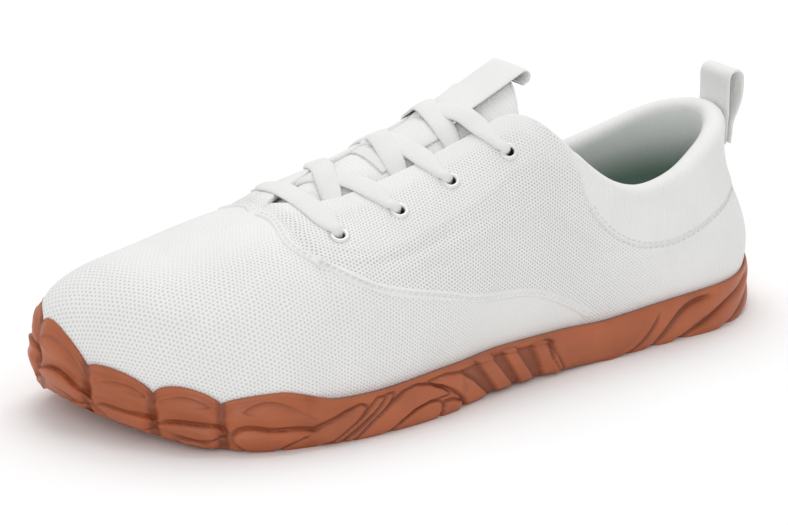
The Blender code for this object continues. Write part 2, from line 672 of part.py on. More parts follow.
def tongue_sections():
    """Upper face of the tongue: rows of points from its outer to its inner side."""
    sections = []
    rises = np.linspace(TONGUE_SIDE_RISE, 1.0, TONGUE_STEPS)
    for station in TONGUE_STATIONS:
        sides = []
        for side in (1, -1):
            at = np.full(TONGUE_STEPS, station * side)
            depth = wall_thickness(at, rises) + 2 * GAP + 0.8 * MM * smoothstep(0.62, 0.66, station)
            sides.append(upper_offset(at, rises, -depth))
        outer, inner = sides
        width = np.linalg.norm(outer[-1] - inner[-1])
        bridge = []
        leave = unit(outer[-1] - outer[-2]) * width
        arrive = -unit(inner[-1] - inner[-2]) * width
        crown = TONGUE_CROWN * smoothstep(0.700, 0.600, station)
        for t in np.linspace(0, 1, TONGUE_STEPS + 2)[1:-1]:
            spot = (2 * t**3 - 3 * t * t + 1) * outer[-1] + (t**3 - 2 * t * t + t) * leave
            spot = spot + (3 * t * t - 2 * t**3) * inner[-1] + (t**3 - t * t) * arrive
            bridge.append(spot + np.array([0, 0, crown * 4 * t * (1 - t)]))
        if abs(station) >= THROAT_END:
            bridge = []
            inner = inner[:-1]
        row = list(outer) + bridge + list(inner[::-1])
        shares = np.linspace(0, 1, 3 * TONGUE_STEPS)
        lengths = np.append(0, np.cumsum(np.linalg.norm(np.diff(row, axis=0), axis=1)))
        sections.append(np.stack([np.interp(shares * lengths[-1], lengths, np.array(row)[:, k]) for k in range(3)], 1))
    # the free top edge runs on past the throat's corner, narrower and standing up a little
    last, before = sections[-1], sections[-2]
    travel = unit((last - before)[len(last) // 2])
    middle = last.mean(0)
    for reach, narrow in ((0.55, 0.98), (1.0, 0.96)):
        lift = travel * TONGUE_RISE * reach
        edge = middle + (last - middle) * np.array([narrow, 1, 1]) + lift
        edge[:, 2] -= TONGUE_RISE * 0.5 * (reach * (np.linspace(-1, 1, len(last)) ** 2))
        sections.append(edge)
    return np.array(sections)


def make_tongue(finish):
    """Curved pad: the upper face, and the same face moved in by the tongue's thickness."""
    top = tongue_sections()
    along = np.gradient(top, axis=0)
    across = np.gradient(top, axis=1)
    normal = unit(np.cross(across, along))
    normal *= np.sign(normal[..., 2:].mean())
    edge = np.ones(top.shape[:2])
    edge[:, [0, -1]] = 0.45
    edge[[0, -1], :] = 0.45
    bottom = top - normal * (TONGUE_THICKNESS * edge)[..., None]
    rows, columns = top.shape[:2]
    points = list(top.reshape(-1, 3)) + list(bottom.reshape(-1, 3))
    under = rows * columns
    faces = []
    for i in range(rows - 1):
        for k in range(columns - 1):
            a, b = i * columns + k, i * columns + k + 1
            faces.append([a, b, b + columns, a + columns])
            faces.append([under + a, under + a + columns, under + b + columns, under + b])
    border = [k for k in range(columns)] + [i * columns + columns - 1 for i in range(1, rows)]
    border += [(rows - 1) * columns + k for k in range(columns - 2, -1, -1)]
    border += [i * columns for i in range(rows - 2, 0, -1)]
    for k, a in enumerate(border):
        b = border[(k + 1) % len(border)]
        faces.append([a, under + a, under + b, b])
    return add_mesh("tongue", points, faces, finish), top, normal


# Trims sewn on: eyelets, lace, seams, tapes

# Eyelets, from the toe up: station, and how far across from the throat's middle
# on the outer and on the inner side, share of BALL_WIDTH
EYELETS = [(0.642, 0.290, 0.225), (0.576, 0.280, 0.255), (0.519, 0.272, 0.265), (0.449, 0.272, 0.265)]
EYELET_SIDES = 8


def eyelet_seat(side, row):
    """Centre on the upper's outer face, and the outward normal there."""
    station, outer, inner = EYELETS[row]
    across = outer if side > 0 else inner
    rises = np.linspace(0.4, 1, 121)
    points = upper_point(np.full(121, side * station), rises)
    away = np.abs(points[:, 0] - ridge(throat_end_y)[0])
    rise = float(np.interp(-across * BALL_WIDTH, -away, rises))
    centre = upper_point(side * station, rise)
    normal = upper_normal(np.array(side * station), np.array(rise))
    return centre, normal


def make_eyelet(name, centre, normal, finish):
    """Turned ring: a flange outside the wall and a barrel through it."""
    depth = -(WALL + GAP)
    flange = GAP + 0.25 * MM
    profile = [
        (EYELET_HOLE, depth), (EYELET_BARREL - 0.2 * MM, depth), (EYELET_BARREL - 0.2 * MM, flange),
        (EYELET_RADIUS, flange), (EYELET_RADIUS - 0.3 * MM, flange + 0.8 * MM), (EYELET_HOLE, flange + 0.8 * MM),
    ]
    helper = np.array([0.0, 1.0, 0.0])
    u = unit(np.cross(helper, normal))
    v = np.cross(normal, u)
    points, faces = [], []
    for k in range(EYELET_SIDES):
        angle = 2 * math.pi * k / EYELET_SIDES
        arm = u * math.cos(angle) + v * math.sin(angle)
        points += [centre + arm * radius + normal * out for radius, out in profile]
    count = len(profile)
    for k in range(EYELET_SIDES):
        for m in range(count):
            a, b = k * count + m, k * count + (m + 1) % count
            c, d = ((k + 1) % EYELET_SIDES) * count + (m + 1) % count, ((k + 1) % EYELET_SIDES) * count + m
            faces.append([a, b, c, d])
    return add_mesh(name, points, faces, finish)


def cut_eyelet_holes(upper):
    """Round holes through the eyestays, one cutter for all of them."""
    work = bmesh.new()
    for side in (1, -1):
        for row in range(len(EYELETS)):
            centre, normal = eyelet_seat(side, row)
            helper = np.array([0.0, 1.0, 0.0])
            u = unit(np.cross(helper, normal))
            v = np.cross(normal, u)
            rings = []
            for out in (4 * MM, -6 * MM):
                ring = []
                for k in range(EYELET_SIDES):
                    angle = 2 * math.pi * k / EYELET_SIDES
                    arm = u * math.cos(angle) + v * math.sin(angle)
                    ring.append(work.verts.new(centre + arm * (EYELET_BARREL + GAP) + normal * out))
                rings.append(ring)
            work.faces.new(rings[0])
            work.faces.new(rings[1][::-1])
            for k in range(EYELET_SIDES):
                m = (k + 1) % EYELET_SIDES
                work.faces.new([rings[0][m], rings[0][k], rings[1][k], rings[1][m]])
    mesh = bpy.data.meshes.new("eyelet_cutter")
    bmesh.ops.recalc_face_normals(work, faces=work.faces[:])
    work.to_mesh(mesh)
    work.free()
    cutter = bpy.data.objects.new("eyelet_cutter", mesh)
    bpy.context.scene.collection.objects.link(cutter)
    cutter.hide_render = True
    cutter.display_type = "WIRE"
    cut = upper.modifiers.new("eyelet_holes", "BOOLEAN")
    cut.operation = "DIFFERENCE"
    cut.object = cutter


# Raised seam between vamp and quarter: station and rise on the upper, from the throat down
SEAM_PATH = [
    (0.676, 0.955), (0.674, 0.900), (0.680, 0.810), (0.680, 0.735), (0.668, 0.650), (0.650, 0.575),
    (0.620, 0.500), (0.580, 0.425), (0.538, 0.350), (0.500, 0.285), (0.455, 0.240), (0.410, 0.222),
    (0.378, 0.195), (0.354, 0.160),
]
SEAM_STEPS = 26


def make_seam(name, side, upper_tree, finish):
    """Thin strip over the upper's outer face, following the seam's path."""
    path = np.array(SEAM_PATH)
    share = np.linspace(0, 1, len(path))
    steps = np.linspace(0, 1, SEAM_STEPS)
    station = side * spline(share, path[:, 0], steps)
    rise = spline(share, path[:, 1], steps)
    travel = np.gradient(upper_point(station, rise), axis=0)
    normal = upper_normal(station, rise)
    across = unit(np.cross(travel, normal))
    middle = upper_point(station, rise)
    points = []
    section = [(-0.5, 0.0), (0.0, 0.0), (0.5, 0.0), (0.35, 1.0), (0.0, 1.0), (-0.35, 1.0)]
    for centre, side_way, face in zip(middle, across, normal):
        seats = np.array([centre + side_way * u * SEAM_WIDTH for u, v in section])
        seats = stand_off(upper_tree, seats, np.array([face] * len(section)), 1.2 * GAP)
        points += [seat + face * v * SEAM_THICKNESS for seat, (u, v) in zip(seats, section)]
    count = len(section)
    faces = [list(range(count)), [len(points) - 1 - k for k in range(count)]]
    for i in range(SEAM_STEPS - 1):
        for k in range(count):
            a, b = i * count + k, i * count + (k + 1) % count
            faces.append([a, b, b + count, a + count])
    return add_mesh(name, points, faces, finish)


def clear_above(points, ups, surfaces, clearance):
    """Lifts each point along its own up until it is clear of the surfaces' points."""
    lifted = points.copy()
    for i, (point, up) in enumerate(zip(points, ups)):
        need = 0.0
        for cloud in surfaces:
            away = cloud - point
            along = away @ up
            aside = np.linalg.norm(away - along[:, None] * up, axis=1)
            near = aside < LACE_WIDTH * 0.62
            if near.any():
                need = max(need, along[near].max() + clearance)
        lifted[i] = point + up * need
    return lifted


def smooth_rows(values, rounds):
    for _ in range(rounds):
        middle = (values[:-2] + 2 * values[1:-1] + values[2:]) / 4
        values = np.concatenate([values[:1], np.maximum(middle, values[1:-1]), values[-1:]])
    return values


LACE_STEPS = 13
LACE_BACK = 0.022            # stations from an eyelet up to where its lace comes out again


def beside_eyelet(seat, towards):
    """Where a lace ends: on the wall beside the eyelet's ring, on the side it comes from."""
    centre, normal = seat
    way = towards - centre
    way = unit(way - normal * (way @ normal))
    return centre + way * (EYELET_RADIUS + 1.4 * MM), normal


def lace_strand(start, end, clouds):
    """Centre line and normals of a lace run between two seats, over all that lies between."""
    share = np.linspace(0, 1, LACE_STEPS)[:, None]
    line = start[0] + (end[0] - start[0]) * share
    up = unit(start[1] + (end[1] - start[1]) * share)
    lifted = clear_above(line, up, clouds, GAP + LACE_THICKNESS / 2 + 0.3 * MM)
    heights = smooth_rows(((lifted - line) * up).sum(1), 4)
    return line + up * heights[:, None], up


def throat_exit(side, row):
    """Where a lace comes out from under the eyestay's edge, between two eyelets."""
    station = side * (EYELETS[row][0] - LACE_BACK)
    edge = upper_point(station, 1.0)
    other = upper_point(-station, 1.0)
    return edge + unit(other - edge) * (WALL + 3 * MM), np.array([0.0, -0.35, 1.0])


def make_laces(clouds, finish):
    """One bar at the bottom and a crossing above each pair of eyelets."""
    seats = {side: [eyelet_seat(side, row) for row in range(len(EYELETS))] for side in (1, -1)}
    outer, inner = seats[1][0], seats[-1][0]
    line, up = lace_strand(beside_eyelet(outer, inner[0]), beside_eyelet(inner, outer[0]), clouds)
    tape_mesh("lace_bar", line, up, LACE_WIDTH, LACE_THICKNESS, finish, (0.7, 0.7))
    for row in range(len(EYELETS) - 1):
        strands = []
        for side in (1, -1):
            start = throat_exit(side, row)
            end = beside_eyelet(seats[-side][row + 1], start[0])
            line, up = lace_strand(start, end, clouds)
            name = f"lace_cross_{row + 1}" if side > 0 else f"lace_cross_{row + 1}_upper_strand"
            strands.append(tape_mesh(name, line, up, LACE_WIDTH, LACE_THICKNESS, finish, (0.9, 0.7)))
        keep, other = strands
        join = keep.modifiers.new("crossing", "BOOLEAN")
        join.operation = "UNION"
        join.object = other
        other.hide_render = True
        other.display_type = "WIRE"


def hairpin(front, turn_centre, turn_radius, back):
    """Path of a folded tape: up the front run, round the fold and down the back run."""
    first = front[-1] - turn_centre
    start = math.atan2(first[2], first[1])
    arc = []
    for share in np.linspace(0, 1, 8)[1:-1]:
        angle = start - math.pi * share
        arc.append(turn_centre + turn_radius * np.array([0, math.cos(angle), math.sin(angle)]))
    return np.array(list(front) + arc + list(back))


def plane_normals(path):
    """Normals of a path that stays in a plane across the shoe's length."""
    travel = unit(np.gradient(path, axis=0))
    return np.stack([0 * travel[:, 0], -travel[:, 2], travel[:, 1]], 1)


def make_heel_loop(finish):
    """Tape folded into a loop, both ends sewn to the back of the heel under the collar."""
    rises = np.linspace(0.78, 1.0, 5)
    seat = upper_offset(np.zeros(5), rises, np.full(5, GAP + TAPE_THICKNESS / 2))
    seat[:, 0] = 0
    top = COLLAR_HEIGHT + LOOP_HEIGHT - LOOP_DEPTH / 2 - TAPE_THICKNESS
    climb = np.linspace(0, 1, 4)[1:, None]
    front = np.concatenate([seat, seat[-1] + climb * np.array([0, 0, top - seat[-1, 2]])])
    radius = (LOOP_DEPTH + TAPE_THICKNESS) / 2
    centre = front[-1] + np.array([0, radius, 0])
    back = []
    for share in np.linspace(0, 1, 8):
        level = top + (seat[0, 2] - top) * share
        beside = np.interp(level, front[:, 2], front[:, 1])
        spread = 2 * radius * (1 - smoothstep(0.15, 1.0, share))
        back.append([0, beside + max(spread, TAPE_THICKNESS + 2 * GAP), level])
    path = hairpin(front, centre, radius, np.array(back))
    return tape_mesh("heel_pull_loop", path, plane_normals(path), LOOP_WIDTH, TAPE_THICKNESS, finish)


def make_tongue_tab(top, normal, finish):
    """Tape sewn down the middle of the tongue and folded into a tab past its top edge."""
    middle = top.shape[1] // 2
    seat = (top[-5:, middle] + normal[-5:, middle] * (1.2 * GAP + TAPE_THICKNESS / 2))[1:]
    seat[:, 0] = top[-1, middle, 0]
    travel = unit(seat[-1] - seat[-3])
    reach = np.linspace(0, TAB_REACH, 5)[1:, None]
    front = np.concatenate([seat, seat[-1] + travel * reach])
    radius = TONGUE_THICKNESS / 2
    under = np.array([0, travel[2], -travel[1]])
    centre = front[-1] + under * radius
    home = np.linspace(0, TAB_REACH - TAPE_THICKNESS - GAP, 4)[:, None]
    back = front[-1] + under * 2 * radius - travel * home
    path = hairpin(front, centre, radius, back)
    return tape_mesh("tongue_pull_tab", path, plane_normals(path), TAB_WIDTH, TAPE_THICKNESS, finish)


def build():
    for thing in list(bpy.data.objects):
        bpy.data.objects.remove(thing)
    rubber = material("gum_rubber", (0.46, 0.14, 0.05), 0.55)
    knit = material("white_knit", (0.83, 0.83, 0.81), 0.85)
    lining = material("grey_green_lining", (0.50, 0.56, 0.50), 0.9)
    tape = material("white_tape", (0.84, 0.84, 0.83), 0.75)
    metal = material("eyelet_metal", (0.75, 0.76, 0.76), 0.3, 1.0)
    upper = make_upper(knit)
    upper_tree = BVHTree.FromPolygons([v.co for v in upper.data.vertices], [f.vertices for f in upper.data.polygons])
    cut_eyelet_holes(upper)
    make_outsole(upper_tree, rubber)
    make_insole(lining)
    tongue, top, normal = make_tongue(knit)
    for side, word in ((1, "lateral"), (-1, "medial")):
        for row in range(len(EYELETS)):
            centre, out = eyelet_seat(side, row)
            make_eyelet(f"eyelet_{word}_{row + 1}", centre, out, metal)
        make_seam(f"vamp_seam_{word}", side, upper_tree, tape)
    stations = np.linspace(-0.70, 0.70, 141)
    rises = np.linspace(0.6, 1.0, 41)
    upper_cloud = upper_point(stations[:, None], rises[None, :]).reshape(-1, 3)
    finer = np.concatenate([top[:-1] + (top[1:] - top[:-1]) * share for share in (0, 1 / 3, 2 / 3)] + [top[-1:]])
    tongue_cloud = np.concatenate([finer.reshape(-1, 3), ((finer[:, 1:] + finer[:, :-1]) / 2).reshape(-1, 3)])
    make_laces([upper_cloud, tongue_cloud], tape)
    make_heel_loop(tape)
    make_tongue_tab(top, normal, tape)


build()
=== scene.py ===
"""Looks of a left barefoot shoe: white knit upper on a gum cup sole with swollen toe lobes.

Metres, +Z up. Toe towards -Y, heel towards +Y, outer side of the foot towards +X.
"""

import math

import bmesh
import bpy
import numpy as np
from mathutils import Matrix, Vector
from mathutils.bvhtree import BVHTree


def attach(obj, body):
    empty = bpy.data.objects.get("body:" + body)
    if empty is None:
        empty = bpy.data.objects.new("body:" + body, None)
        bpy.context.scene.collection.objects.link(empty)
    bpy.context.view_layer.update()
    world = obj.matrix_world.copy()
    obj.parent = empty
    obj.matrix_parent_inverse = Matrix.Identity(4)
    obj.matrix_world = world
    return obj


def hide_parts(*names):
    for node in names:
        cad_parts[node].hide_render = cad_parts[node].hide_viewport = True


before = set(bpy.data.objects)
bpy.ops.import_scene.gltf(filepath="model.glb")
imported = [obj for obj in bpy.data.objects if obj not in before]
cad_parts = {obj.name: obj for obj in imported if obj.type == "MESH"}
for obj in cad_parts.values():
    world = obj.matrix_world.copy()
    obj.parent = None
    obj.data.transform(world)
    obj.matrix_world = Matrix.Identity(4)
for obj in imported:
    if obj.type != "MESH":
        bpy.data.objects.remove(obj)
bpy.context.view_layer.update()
MM = 0.001


# Upper
#
# One piece of white engineered knit, closed at the heel and lasted over the foot's form.
# Small open holes give air over the toes and quarters; the heel and collar are knitted dense.
# The lower edge is glued inside the cup of the sole and the collar is turned in over a pad.

LENGTH = 282 * MM
BALL_WIDTH = 106 * MM
INSTEP_HEIGHT = 92 * MM
COLLAR_HEIGHT = 77 * MM
TOE_HEIGHT = 60 * MM
TOE_SPRING = 12 * MM
HEEL_LIFT = 3 * MM
ARCH_LIFT = 1.2 * MM
SOLE_THICKNESS = 7.5 * MM
UPPER_INSET = 6.0 * MM
WALL = 2.2 * MM
COLLAR_PAD = 8 * MM
GAP = 0.35 * MM

# Outline of the sole from the heel round by the outer side: share of LENGTH, share of BALL_WIDTH
OUTLINE = [
    (0.000, 0.000), (0.030, 0.190), (0.100, 0.322), (0.180, 0.352), (0.280, 0.365),
    (0.390, 0.388), (0.500, 0.432), (0.610, 0.492), (0.720, 0.500), (0.800, 0.470),
    (0.865, 0.395), (0.920, 0.265), (0.964, 0.090), (0.993, -0.080), (1.003, -0.240),
    (0.988, -0.375), (0.946, -0.455), (0.880, -0.492), (0.790, -0.506), (0.690, -0.492),
    (0.590, -0.445), (0.480, -0.378), (0.350, -0.342), (0.230, -0.345), (0.110, -0.312),
    (0.032, -0.190),
]
# Centres of the round heel and toe, in the same shares, and the stations where they begin
HEEL_POLE = (0.135, 0.000)
TOE_POLE = (0.850, -0.080)
HEEL_STATION = 0.175
TOE_STATION = 0.775

# Collar and throat: station, along, outer across, outer height, inner across, inner height
COLLAR = [
    (0.000, 0.062, 0.000, 1.000, 0.000, 1.000),
    (0.060, 0.071, 0.085, 0.985, -0.085, 0.990),
    (0.120, 0.102, 0.170, 0.940, -0.170, 0.950),
    (0.175, 0.145, 0.226, 0.880, -0.226, 0.880),
    (0.220, 0.186, 0.255, 0.812, -0.255, 0.818),
    (0.270, 0.238, 0.269, 0.779, -0.274, 0.785),
]
THROAT = [
    (0.320, 0.291, 0.274, 0.723, -0.283, 0.717),
    (0.360, 0.332, 0.264, 0.826, -0.283, 0.826),
    (0.395, 0.365, 0.241, 0.913, -0.269, 0.918),
    (0.425, 0.390, 0.189, 0.973, -0.241, 0.989),
    (0.450, 0.413, 0.132, 0.978, -0.193, 0.989),
    (0.475, 0.447, 0.120, 0.940, -0.181, 0.946),
    (0.520, 0.500, 0.112, 0.880, -0.175, 0.886),
    (0.570, 0.571, 0.102, 0.811, -0.168, 0.822),
    (0.610, 0.628, 0.087, 0.766, -0.155, 0.777),
    (0.640, 0.667, 0.058, 0.742, -0.128, 0.751),
]
THROAT_END = 0.665

# Ridge of the vamp: along, across, share of TOE_HEIGHT
RIDGE = [
    (0.640, -0.040, 1.175), (0.699, -0.040, 1.145), (0.770, -0.057, 1.045),
    (0.850, -0.080, 0.950), (0.900, -0.090, 0.890),
]

# Ribs of the last: station, lean, lower handle, upper handle outer and inner, slope at the top
RIBS_SHAPE = [
    (0.000, 24, 0.50, 0.42, 0.42, 98),
    (0.100, 19, 0.47, 0.42, 0.42, 93),
    (0.175, 11, 0.42, 0.40, 0.40, 86),
    (0.270, 9, 0.42, 0.40, 0.40, 80),
    (0.350, 8, 0.45, 0.35, 0.35, 72),
    (0.420, 8, 0.50, 0.35, 0.33, 50),
    (0.475, 8, 0.52, 0.42, 0.38, 34),
    (0.570, 8, 0.55, 0.45, 0.38, 26),
    (0.640, 9, 0.58, 0.50, 0.40, 12),
    (0.690, 10, 0.62, 0.52, 0.46, 0),
    (0.775, 12, 0.65, 0.55, 0.52, 0),
    (0.880, 14, 0.67, 0.55, 0.57, 0),
    (1.000, 14, 0.68, 0.56, 0.58, 0),
]


def smoothstep(low, high, value):
    """Soft step from 0 at low to 1 at high."""
    share = np.clip((np.asarray(value, float) - low) / (high - low), 0, 1)
    return share * share * (3 - 2 * share)


def unit(vectors):
    return vectors / np.maximum(np.linalg.norm(vectors, axis=-1, keepdims=True), 1e-12)


def run_of(line):
    """Distance run along a line of points."""
    return np.append(0, np.cumsum(np.linalg.norm(np.diff(line, axis=0), axis=1)))


def points_along(at, run, line):
    """Points of a line where its run has the given values."""
    return np.stack([np.interp(at, run, column) for column in line.T], -1)


def eased(values, times):
    """Values evened out along their first axis, with both ends kept."""
    values = values.copy()
    for _ in range(times):
        values[1:-1] = (values[:-2] + 2 * values[1:-1] + values[2:]) / 4
    return values


def read_table(rows, at, left=None, right=None):
    """Value of a two-column table at places between its rows."""
    table = np.array(rows)
    return np.interp(at, table[:, 0], table[:, 1], left=left, right=right)


def spline(knots, values, at, period=None):
    """Cubic spline through values at knots: natural at its ends, or closed over a period."""
    x = np.asarray(knots, float)
    y = np.asarray(values, float)
    if period is not None:
        x = np.append(x, x[0] + period)
        y = np.concatenate([y, y[:1]])
    spans = len(x) - 1
    step = np.diff(x)
    slope = (np.diff(y, axis=0).T / step).T
    size = spans if period is not None else spans + 1
    matrix = np.zeros((size, size))
    right = np.zeros((size,) + y.shape[1:])
    for i in range(size):
        if period is None and i in (0, spans):
            matrix[i, i] = 1.0
            continue
        before, after = step[i - 1], step[i % spans]
        matrix[i, (i - 1) % size] += before
        matrix[i, i] += 2 * (before + after)
        matrix[i, (i + 1) % size] += after
        right[i] = 6 * (slope[i % spans] - slope[i - 1])
    bend = np.linalg.solve(matrix, right)
    if period is not None:
        bend = np.concatenate([bend, bend[:1]])
    at = np.asarray(at, float)
    if period is not None:
        at = x[0] + np.mod(at - x[0], period)
    k = np.clip(np.searchsorted(x, at, side="right") - 1, 0, spans - 1)
    near = at - x[k]
    width = step[k]
    if y.ndim > 1:
        near, width = near[..., None], width[..., None]
    far = width - near
    curve = (bend[k] * far**3 + bend[k + 1] * near**3) / (6 * width)
    line_start = (y[k] / width - bend[k] * width / 6) * far
    line_end = (y[k + 1] / width - bend[k + 1] * width / 6) * near
    return curve + line_start + line_end


def along_to_y(along):
    """Y of a share of the length from the heel."""
    return LENGTH / 2 - np.asarray(along, float) * LENGTH


outline_rows = np.array(OUTLINE)
outline_knots = np.stack([outline_rows[:, 1] * BALL_WIDTH, along_to_y(outline_rows[:, 0])], 1)
knot_arcs = run_of(np.vstack([outline_knots, outline_knots[:1]]))
dense_at = np.linspace(0, knot_arcs[-1], 4800, endpoint=False)
dense = spline(knot_arcs[:-1], outline_knots, dense_at, knot_arcs[-1])
dense_normal = np.roll(dense, -1, 0) - np.roll(dense, 1, 0)
dense_normal = unit(np.stack([-dense_normal[:, 1], dense_normal[:, 0]], 1))
heel_pole = np.array([HEEL_POLE[1] * BALL_WIDTH, along_to_y(HEEL_POLE[0])])
toe_pole = np.array([TOE_POLE[1] * BALL_WIDTH, along_to_y(TOE_POLE[0])])


def station_of(points):
    """Station of outline points: 0 at the heel, 1 at the toe, 1 to 2 back along the inner side."""
    x, y = points[:, 0], points[:, 1]
    share = np.clip((heel_pole[1] - y) / (heel_pole[1] - toe_pole[1]), 0, 1)
    out = x - (heel_pole[0] + (toe_pole[0] - heel_pole[0]) * share)
    heel_turn = 1 - np.arctan2(y - heel_pole[1], np.abs(out)) / (math.pi / 2)
    toe_turn = np.arctan2(toe_pole[1] - y, np.abs(out)) / (math.pi / 2)
    station = HEEL_STATION + (TOE_STATION - HEEL_STATION) * share
    station = np.where(y > heel_pole[1], HEEL_STATION * heel_turn, station)
    station = np.where(y < toe_pole[1], TOE_STATION + (1 - TOE_STATION) * toe_turn, station)
    return np.where(out >= 0, station, 2 - station)


dense_station = station_of(dense)
first = int(np.argmin(np.where(dense_station < 1, dense_station, 9)))
dense = np.roll(dense, -first, 0)
dense_normal = np.roll(dense_normal, -first, 0)
dense_station = np.roll(dense_station, -first)
loop_station = np.concatenate([dense_station - 2, dense_station, dense_station + 2])
loop_point = np.tile(dense, (3, 1))
loop_normal = np.tile(dense_normal, (3, 1))


def outline(station, inset=0.0):
    """Points of the outline moved inwards, and its outward normals."""
    station = np.asarray(station, float)
    point = points_along(station, loop_station, loop_point)
    normal = unit(points_along(station, loop_station, loop_normal))
    return point - np.asarray(inset)[..., None] * normal, normal


def floor_clearance(y):
    """Height of the sole's underside: heel lift, arch and toe spring, flat between."""
    along = 0.5 - np.asarray(y, float) / LENGTH
    toe = TOE_SPRING * np.clip((along - 0.74) / 0.26, 0, None) ** 3
    heel = HEEL_LIFT * np.clip((0.08 - along) / 0.08, 0, None) ** 1.5
    arch = ARCH_LIFT * smoothstep(0.30, 0.38, along) * (1 - smoothstep(0.48, 0.56, along))
    return toe + heel + arch


def both_sides(rows, outer, inner):
    """Knots and values over -1..1 from a table's outer and inner columns."""
    table = np.array(rows, float)
    knots = np.concatenate([-table[:0:-1, 0], table[:, 0]])
    values = np.concatenate([table[:0:-1, inner], table[:, outer]])
    return knots, values


def signed(station):
    """Station 0..2 as -1..1, with the inner side negative."""
    station = np.mod(np.asarray(station, float), 2)
    return np.where(station > 1, station - 2, station)


def ridge(y):
    """Across and height of the vamp's ridge."""
    table = np.array(RIDGE)
    along = 0.5 - np.asarray(y, float) / LENGTH
    across = spline(table[:, 0], table[:, 1] * BALL_WIDTH, along)
    height = spline(table[:, 0], table[:, 2] * TOE_HEIGHT, along)
    return across, height


throat_share = (THROAT_END - HEEL_STATION) / (TOE_STATION - HEEL_STATION)
throat_end_y = along_to_y(HEEL_POLE[0] + (TOE_POLE[0] - HEEL_POLE[0]) * throat_share)


def top_line(station):
    """Crest of the collar and throat, then the vamp's ridge, then the toe pole."""
    side = signed(station)
    rows = [list(row) for row in COLLAR + THROAT]
    for k, row in enumerate(rows):
        height = COLLAR_HEIGHT if k < len(COLLAR) else INSTEP_HEIGHT
        row[3] *= height
        row[5] *= height
    end_x, end_z = ridge(throat_end_y)
    end_along = 0.5 - throat_end_y / LENGTH
    rows.append([THROAT_END, end_along, end_x / BALL_WIDTH, end_z, end_x / BALL_WIDTH, end_z])
    open_side = np.clip(side, -THROAT_END, THROAT_END)
    knots, along = both_sides(rows, 1, 1)
    x = spline(knots, both_sides(rows, 2, 4)[1] * BALL_WIDTH, open_side)
    y = spline(knots, along_to_y(along), open_side)
    z = spline(knots, both_sides(rows, 3, 5)[1], open_side)
    reach = np.clip(np.abs(side), THROAT_END, TOE_STATION) - THROAT_END
    ridge_y = throat_end_y + (toe_pole[1] - throat_end_y) * reach / (TOE_STATION - THROAT_END)
    ridge_x, ridge_z = ridge(ridge_y)
    closed = (np.abs(side) >= THROAT_END)[..., None]
    return np.where(closed, np.stack([ridge_x, ridge_y, ridge_z], -1), np.stack([x, y, z], -1))


def shape_column(station, outer, inner=None):
    """Value of a column of RIBS_SHAPE at a station, or of one for each side."""
    knots, values = both_sides(RIBS_SHAPE, outer, outer if inner is None else inner)
    return spline(knots, values, signed(station))


def wall_thickness(station, rise):
    """Knit wall, growing into the padded collar towards its crest."""
    ankle = 1 - smoothstep(0.34, 0.42, np.abs(signed(station)))
    return WALL + (COLLAR_PAD - WALL) * ankle * smoothstep(0.45, 0.95, rise)


def rib_handles(station):
    """Cubic Bezier handles of the upper's outer face at each station."""
    feather, outward = outline(station, np.full(np.shape(station), UPPER_INSET))
    base = SOLE_THICKNESS + GAP + floor_clearance(feather[..., 1])
    start = np.concatenate([feather, base[..., None]], -1)
    crest = top_line(station)
    inward = unit(crest[..., :2] - start[..., :2])
    slope = np.radians(shape_column(station, 5))
    fall = (ridge(toe_pole[1] + MM)[1] - ridge(toe_pole[1] - MM)[1]) / (2 * MM)
    at_toe = smoothstep(0.66, TOE_STATION, np.abs(signed(station)))
    sag = fall * inward[..., 1] * at_toe
    arrive = unit(np.concatenate([inward * np.cos(slope)[..., None], (np.sin(slope) + sag)[..., None]], -1))
    face = unit(np.concatenate([-inward * np.sin(slope)[..., None], np.cos(slope)[..., None]], -1))
    half = wall_thickness(station, 1.0)[..., None] / 2
    is_open = (np.abs(signed(station)) < THROAT_END)[..., None]
    end = np.where(is_open, crest + half * face - half * arrive, crest)
    lean = np.radians(shape_column(station, 1))
    leave = np.concatenate([outward * np.sin(lean)[..., None], np.cos(lean)[..., None]], -1)
    rise = (end[..., 2] - start[..., 2])[..., None]
    way_in = np.linalg.norm(end - start, axis=-1, keepdims=True)
    lower = start + leave * rise * shape_column(station, 2)[..., None]
    upper = end - arrive * way_in * shape_column(station, 3, 4)[..., None]
    return start, lower, upper, end


def upper_point(station, rise):
    """Outer face of the upper: rise runs 0 at the sole to 1 at the collar, throat or ridge."""
    station, rise = np.broadcast_arrays(np.asarray(station, float), np.asarray(rise, float))
    start, lower, upper, end = rib_handles(station)
    t = rise[..., None]
    s = 1 - t
    return s**3 * start + 3 * s * s * t * lower + 3 * s * t * t * upper + t**3 * end


def upper_normal(station, rise):
    """Outward direction of the upper's outer face."""
    step = 0.004
    rise = np.clip(rise, step, 0.985)
    round_shoe = upper_point(station + step, rise) - upper_point(station - step, rise)
    up = upper_point(station, rise + step) - upper_point(station, rise - step)
    return unit(np.cross(up, round_shoe))


# Soft creases of the knit: station, rise, length and width in stations and rises, depth, turn
CREASES = [
    (0.560, 0.62, 0.060, 0.030, -0.7 * MM, 0.5), (0.610, 0.66, 0.050, 0.028, 0.5 * MM, 0.6),
    (0.500, 0.50, 0.080, 0.040, -0.5 * MM, 0.3), (0.420, 0.55, 0.070, 0.050, 0.6 * MM, -0.4),
    (0.360, 0.62, 0.050, 0.060, -0.6 * MM, -0.6), (0.250, 0.58, 0.060, 0.060, 0.6 * MM, 0.2),
    (-0.560, 0.60, 0.060, 0.035, -0.7 * MM, -0.5),
    (-0.450, 0.55, 0.080, 0.040, 0.5 * MM, -0.3), (-0.350, 0.60, 0.050, 0.060, -0.6 * MM, 0.6),
    (-0.250, 0.58, 0.060, 0.060, 0.5 * MM, -0.2),
]


